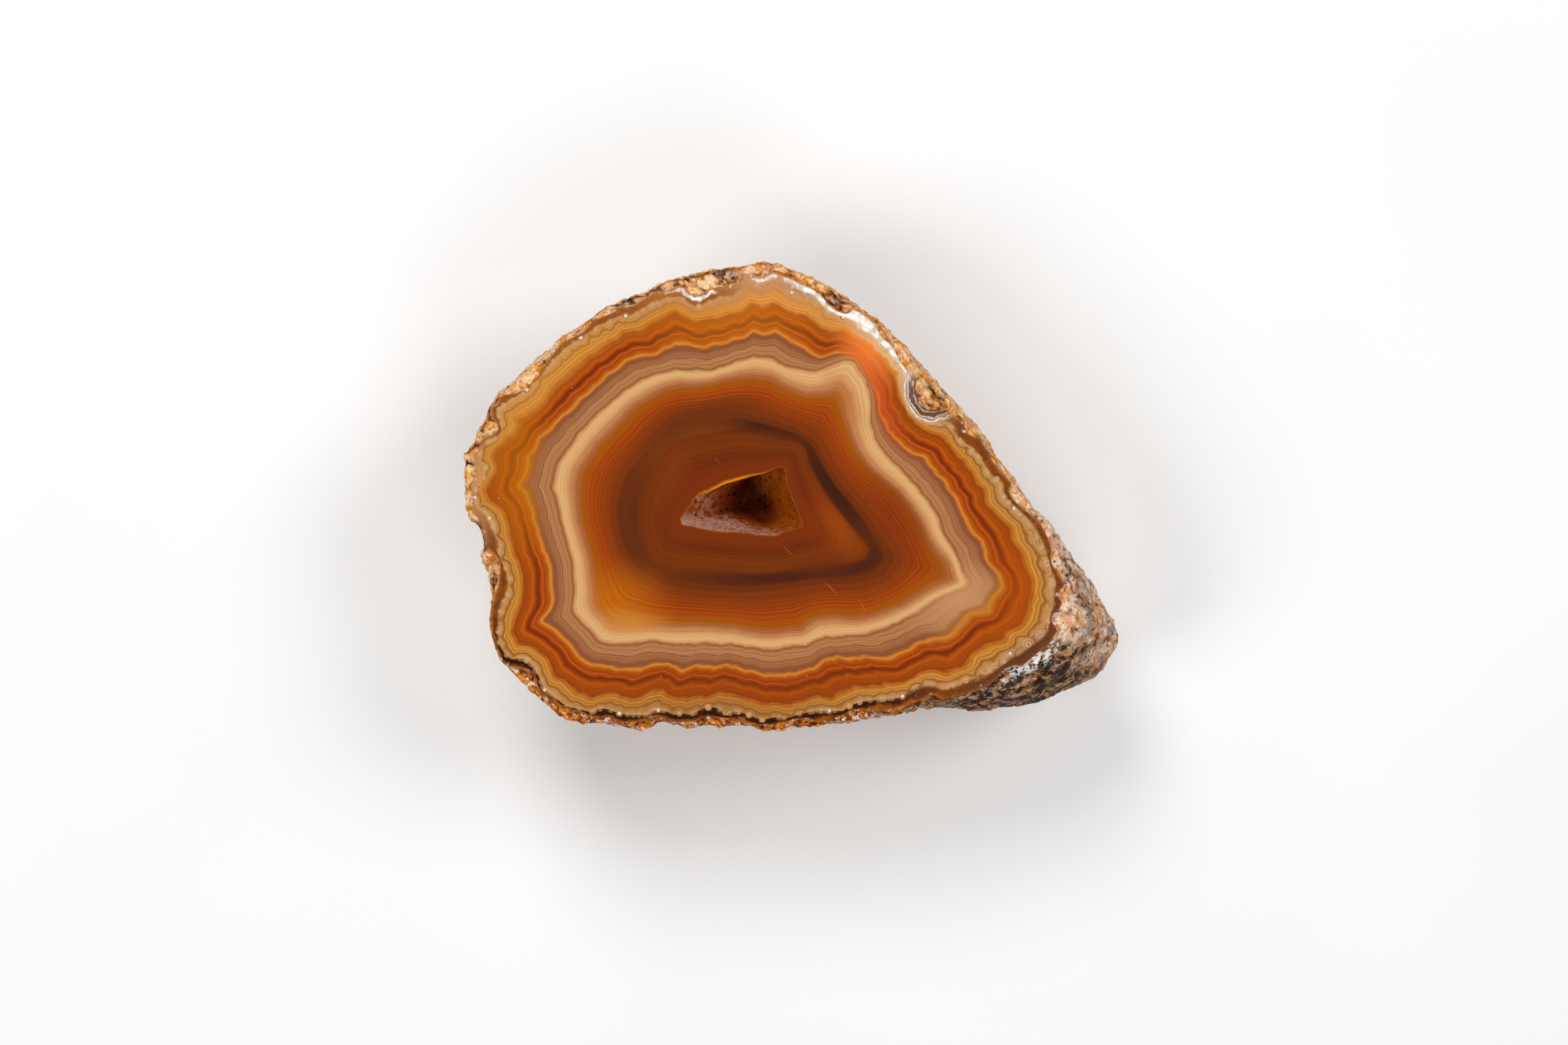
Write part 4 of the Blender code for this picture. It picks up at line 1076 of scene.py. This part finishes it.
def rough_rind():
    """Grains with painted shade in their crevices, and clear amber with painted white highlights by the lower edge."""
    graph = Graph("rough_rind")
    crevice, from_edge = graph.stored("crevice"), graph.stored("from_edge")
    x, y, z = graph.add("ShaderNodeSeparateXYZ", {0: graph.place}).outputs
    colour = rind_colour(graph, x, y)
    # Darker brown to near black in the crevices and pits of the relief: painted shade.
    ragged = graph.math("MULTIPLY", graph.math("SUBTRACT", graph.noise(0.7, 4.0), 0.5), 0.9)
    deep = graph.math("ADD", crevice, ragged)
    colour = graph.mix(graph.between(deep, 0.55, 0.9, 0.0, 0.55), colour, "B46418")
    colour = graph.mix(graph.between(deep, 0.84, 1.1, 0.0, 0.92), colour, "2A130A")
    black = graph.between(graph.noise(1.8, 5.0, 0.7, graph.moved(0.04, 0.01, 0.03)), 0.66, 0.70, 0.0, 0.9)
    colour = graph.mix(black, colour, "1E120C")
    # The underside of the lower right shoulder: golden brown grains with dark layers of painted shade.
    patch = graph.math("MULTIPLY", graph.math("SUBTRACT", graph.noise(6.0, 4.0, 0.6, graph.moved(0.06, 0, 0)), 0.5), 0.02)
    under = graph.math("MULTIPLY", graph.between(graph.math("ADD", y, patch), -0.021, -0.014, 1.0, 0.0),
                       graph.between(graph.math("ADD", x, patch), 0.006, 0.018))
    under = graph.math("MULTIPLY", under, graph.between(graph.math("ADD", z, patch), 0.012, 0.022))
    slanted = graph.math("ADD", graph.math("MULTIPLY_ADD", x, 0.73, y), patch)
    under = graph.math("MULTIPLY", under, graph.between(slanted, 0.0045, 0.0085, 1.0, 0.0))
    colour = graph.mix(graph.math("MULTIPLY", under, 0.6), colour, "C48C54")
    layered = graph.add("ShaderNodeMapping", {"Vector": graph.place, "Rotation": (0, 0, math.radians(-20)),
                                              "Scale": (0.6, 1.0, 1.0)}).outputs[0]
    dark = graph.between(graph.noise(1.1, 6.0, 0.75, layered), 0.47, 0.58, 0.95, 0.04)
    colour = graph.mix(graph.math("MULTIPLY", under, dark), colour, "1E0C05")

    # By the lower edge: clear amber with painted white highlights, and a glossier finish.
    near = graph.math("MULTIPLY", graph.between(from_edge, 0.8, 3.6, 1.0, 0.0),
                      graph.between(z, (FACE_HEIGHT - 7) * MM, (FACE_HEIGHT - 3) * MM))
    low = graph.math("MULTIPLY", graph.between(y, -0.020, -0.010, 1.0, 0.0), graph.between(x, 0.008, 0.022, 1.0, 0.0))
    colour = ring_eye(graph, wet_rind(graph, colour, (near, low)))
    border = graph.math("MULTIPLY_ADD", graph.math("SUBTRACT", graph.noise(0.6, 3.0), 0.5), -1.6, from_edge)
    colour = graph.mix(graph.between(border, 0.05, 0.3, 0.6, 0.0), colour, "8C5220")
    rough = graph.between(graph.noise(1.3, 4.0), 0.3, 0.75, 0.45, 0.9)
    rough = graph.math("MULTIPLY", rough, graph.math("MULTIPLY_ADD", graph.math("MULTIPLY", near, low), -0.65, 1.0))
    grit = graph.math("MULTIPLY_ADD", graph.cells(0.42).outputs["Distance"], -0.6, graph.noise(0.6, 6.0, 0.65))
    grit = graph.math("MULTIPLY_ADD", graph.cells(1.1).outputs["Distance"], -0.9, grit)
    return graph.finish_with(Base_Color=colour, Roughness=rough, Specular_IOR_Level=0.15,
                             Normal=graph.bump(grit, 1.0, 0.25))


def hollow_wall():
    """Warm brown walls, darker with depth as painted shade, with black specks, and a sugary pink crust low on the lower
    wall, made paler there as painted light.
    """
    graph = Graph("hollow_wall")
    x, y, z = graph.add("ShaderNodeSeparateXYZ", {0: graph.place}).outputs
    depth = graph.math("SUBTRACT", FACE_HEIGHT * MM, z)
    mottled = graph.noise(1.1, 5.0, 0.6)
    colour = graph.mix(mottled, "80320F", "C46420")
    # Darker deeper in the hollow: painted shade.
    colour = graph.mix(graph.between(depth, 0.003, 0.0085, 0.0, 0.85), colour, "421406")
    right = graph.between(graph.math("MULTIPLY_ADD", y, 0.6, x), -0.0045, -0.0025)
    colour = graph.mix(graph.math("MULTIPLY", right, 0.8), colour, graph.mix(mottled, "7C360C", "BE641C"))
    # The sugary pink crust on the lower wall, its paleness partly painted light where the light falls on that wall.
    ragged = graph.math("MULTIPLY", graph.math("SUBTRACT", graph.noise(1.0, 4.0), 0.5), 0.0022)
    slope = graph.math("MULTIPLY", graph.between(x, -0.0095, -0.0035), 0.0018)
    line = graph.math("ADD", graph.math("ADD", y, ragged), slope)
    lower = graph.between(line, -0.0034, -0.0022, 1.0, 0.0)
    sugary = graph.mix(graph.between(graph.noise(0.35, 6.0, 0.7), 0.35, 0.65), "8A5240", "DCAA94")
    colour = graph.mix(graph.math("MULTIPLY", lower, 0.92), colour, sugary)
    corner = graph.math("MULTIPLY", graph.between(x, -0.0115, -0.0095, 1.0, 0.0), graph.between(mottled, 0.42, 0.55))
    colour = graph.mix(graph.math("MULTIPLY", corner, 0.7), colour, "C08A74")
    specks = graph.cells(0.8, place=graph.moved(0.002, 0, 0.02))
    chosen = graph.math("GREATER_THAN", graph.add("ShaderNodeSeparateColor", {0: specks.outputs["Color"]}).outputs[0], 0.5)
    specks = graph.math("MULTIPLY", graph.between(specks.outputs["Distance"], 0.2, 0.36, 0.9, 0.0), chosen)
    specks = graph.math("MULTIPLY", specks, graph.math("SUBTRACT", 1.0, lower))
    colour = graph.mix(specks, colour, "140602")
    grit = graph.cells(0.3).outputs["Distance"]
    return graph.finish_with(Base_Color=colour, Roughness=0.5, Specular_IOR_Level=0.12,
                             Normal=graph.bump(grit, 0.5, 0.1))


def pale_floor():
    graph = Graph("pale_floor")
    colour = graph.mix(graph.noise(60.0, 2.0), "F6F6F5", "FFFFFF")
    return graph.finish_with(Base_Color=colour, Roughness=0.9)


def make_stone():
    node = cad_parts["agate_nodule"]
    stone = bpy.data.objects.new("agate_stone", stone_mesh(node))
    bpy.context.scene.collection.objects.link(stone)
    for material in (polished_agate(), rough_rind(), hollow_wall()):
        stone.data.materials.append(material)
    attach(stone, "root")
    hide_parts("agate_nodule")
    return stone


def make_floor():
    mesh = bpy.data.meshes.new("floor")
    side = FLOOR_SIDE * MM / 2
    mesh.from_pydata([(-side, -side, 0), (side, -side, 0), (side, side, 0), (-side, side, 0)], [], [(0, 1, 2, 3)])
    floor = bpy.data.objects.new("floor", mesh)
    floor.location.z = -0.02 * MM
    bpy.context.scene.collection.objects.link(floor)
    mesh.materials.append(pale_floor())


def make_light(name, azimuth, height_angle, reach, size, power):
    """A soft light that looks at the middle of the face from reach mm away."""
    lamp = bpy.data.lights.new(name, "AREA")
    lamp.shape, lamp.size, lamp.energy = "DISK", size * MM, power
    light = bpy.data.objects.new(name, lamp)
    turn, rise = math.radians(azimuth), math.radians(height_angle)
    way = Vector((math.cos(turn) * math.cos(rise), math.sin(turn) * math.cos(rise), math.sin(rise)))
    light.location = way * reach * MM + Vector((0, 0, FACE_HEIGHT * MM))
    light.rotation_euler = way.to_track_quat("Z", "Y").to_euler()
    bpy.context.scene.collection.objects.link(light)


def make_lights():
    for light in LIGHTS:
        make_light(*light)
    world = bpy.data.worlds.new("studio")
    world.use_nodes = True
    background = world.node_tree.nodes["Background"]
    background.inputs["Color"].default_value = (1, 1, 1, 1)
    background.inputs["Strength"].default_value = WORLD_LIGHT
    bpy.context.scene.world = world


def make_camera():
    """The photograph's view, straight down on the face, from as far as its frame needs with this lens."""
    data = bpy.data.cameras.new("camera")
    data.lens, data.sensor_width = LENS, SENSOR
    camera = bpy.data.objects.new("camera", data)
    distance = FRAME_WIDTH * LENS / SENSOR
    camera.location = (VIEW_MIDDLE[0] * MM, VIEW_MIDDLE[1] * MM, (FACE_HEIGHT + distance) * MM)
    data.clip_start, data.clip_end = 0.01, 10
    bpy.context.scene.collection.objects.link(camera)
    bpy.context.scene.camera = camera


bpy.context.scene.view_settings.view_transform = "Standard"
make_stone()
make_floor()
make_lights()
make_camera()
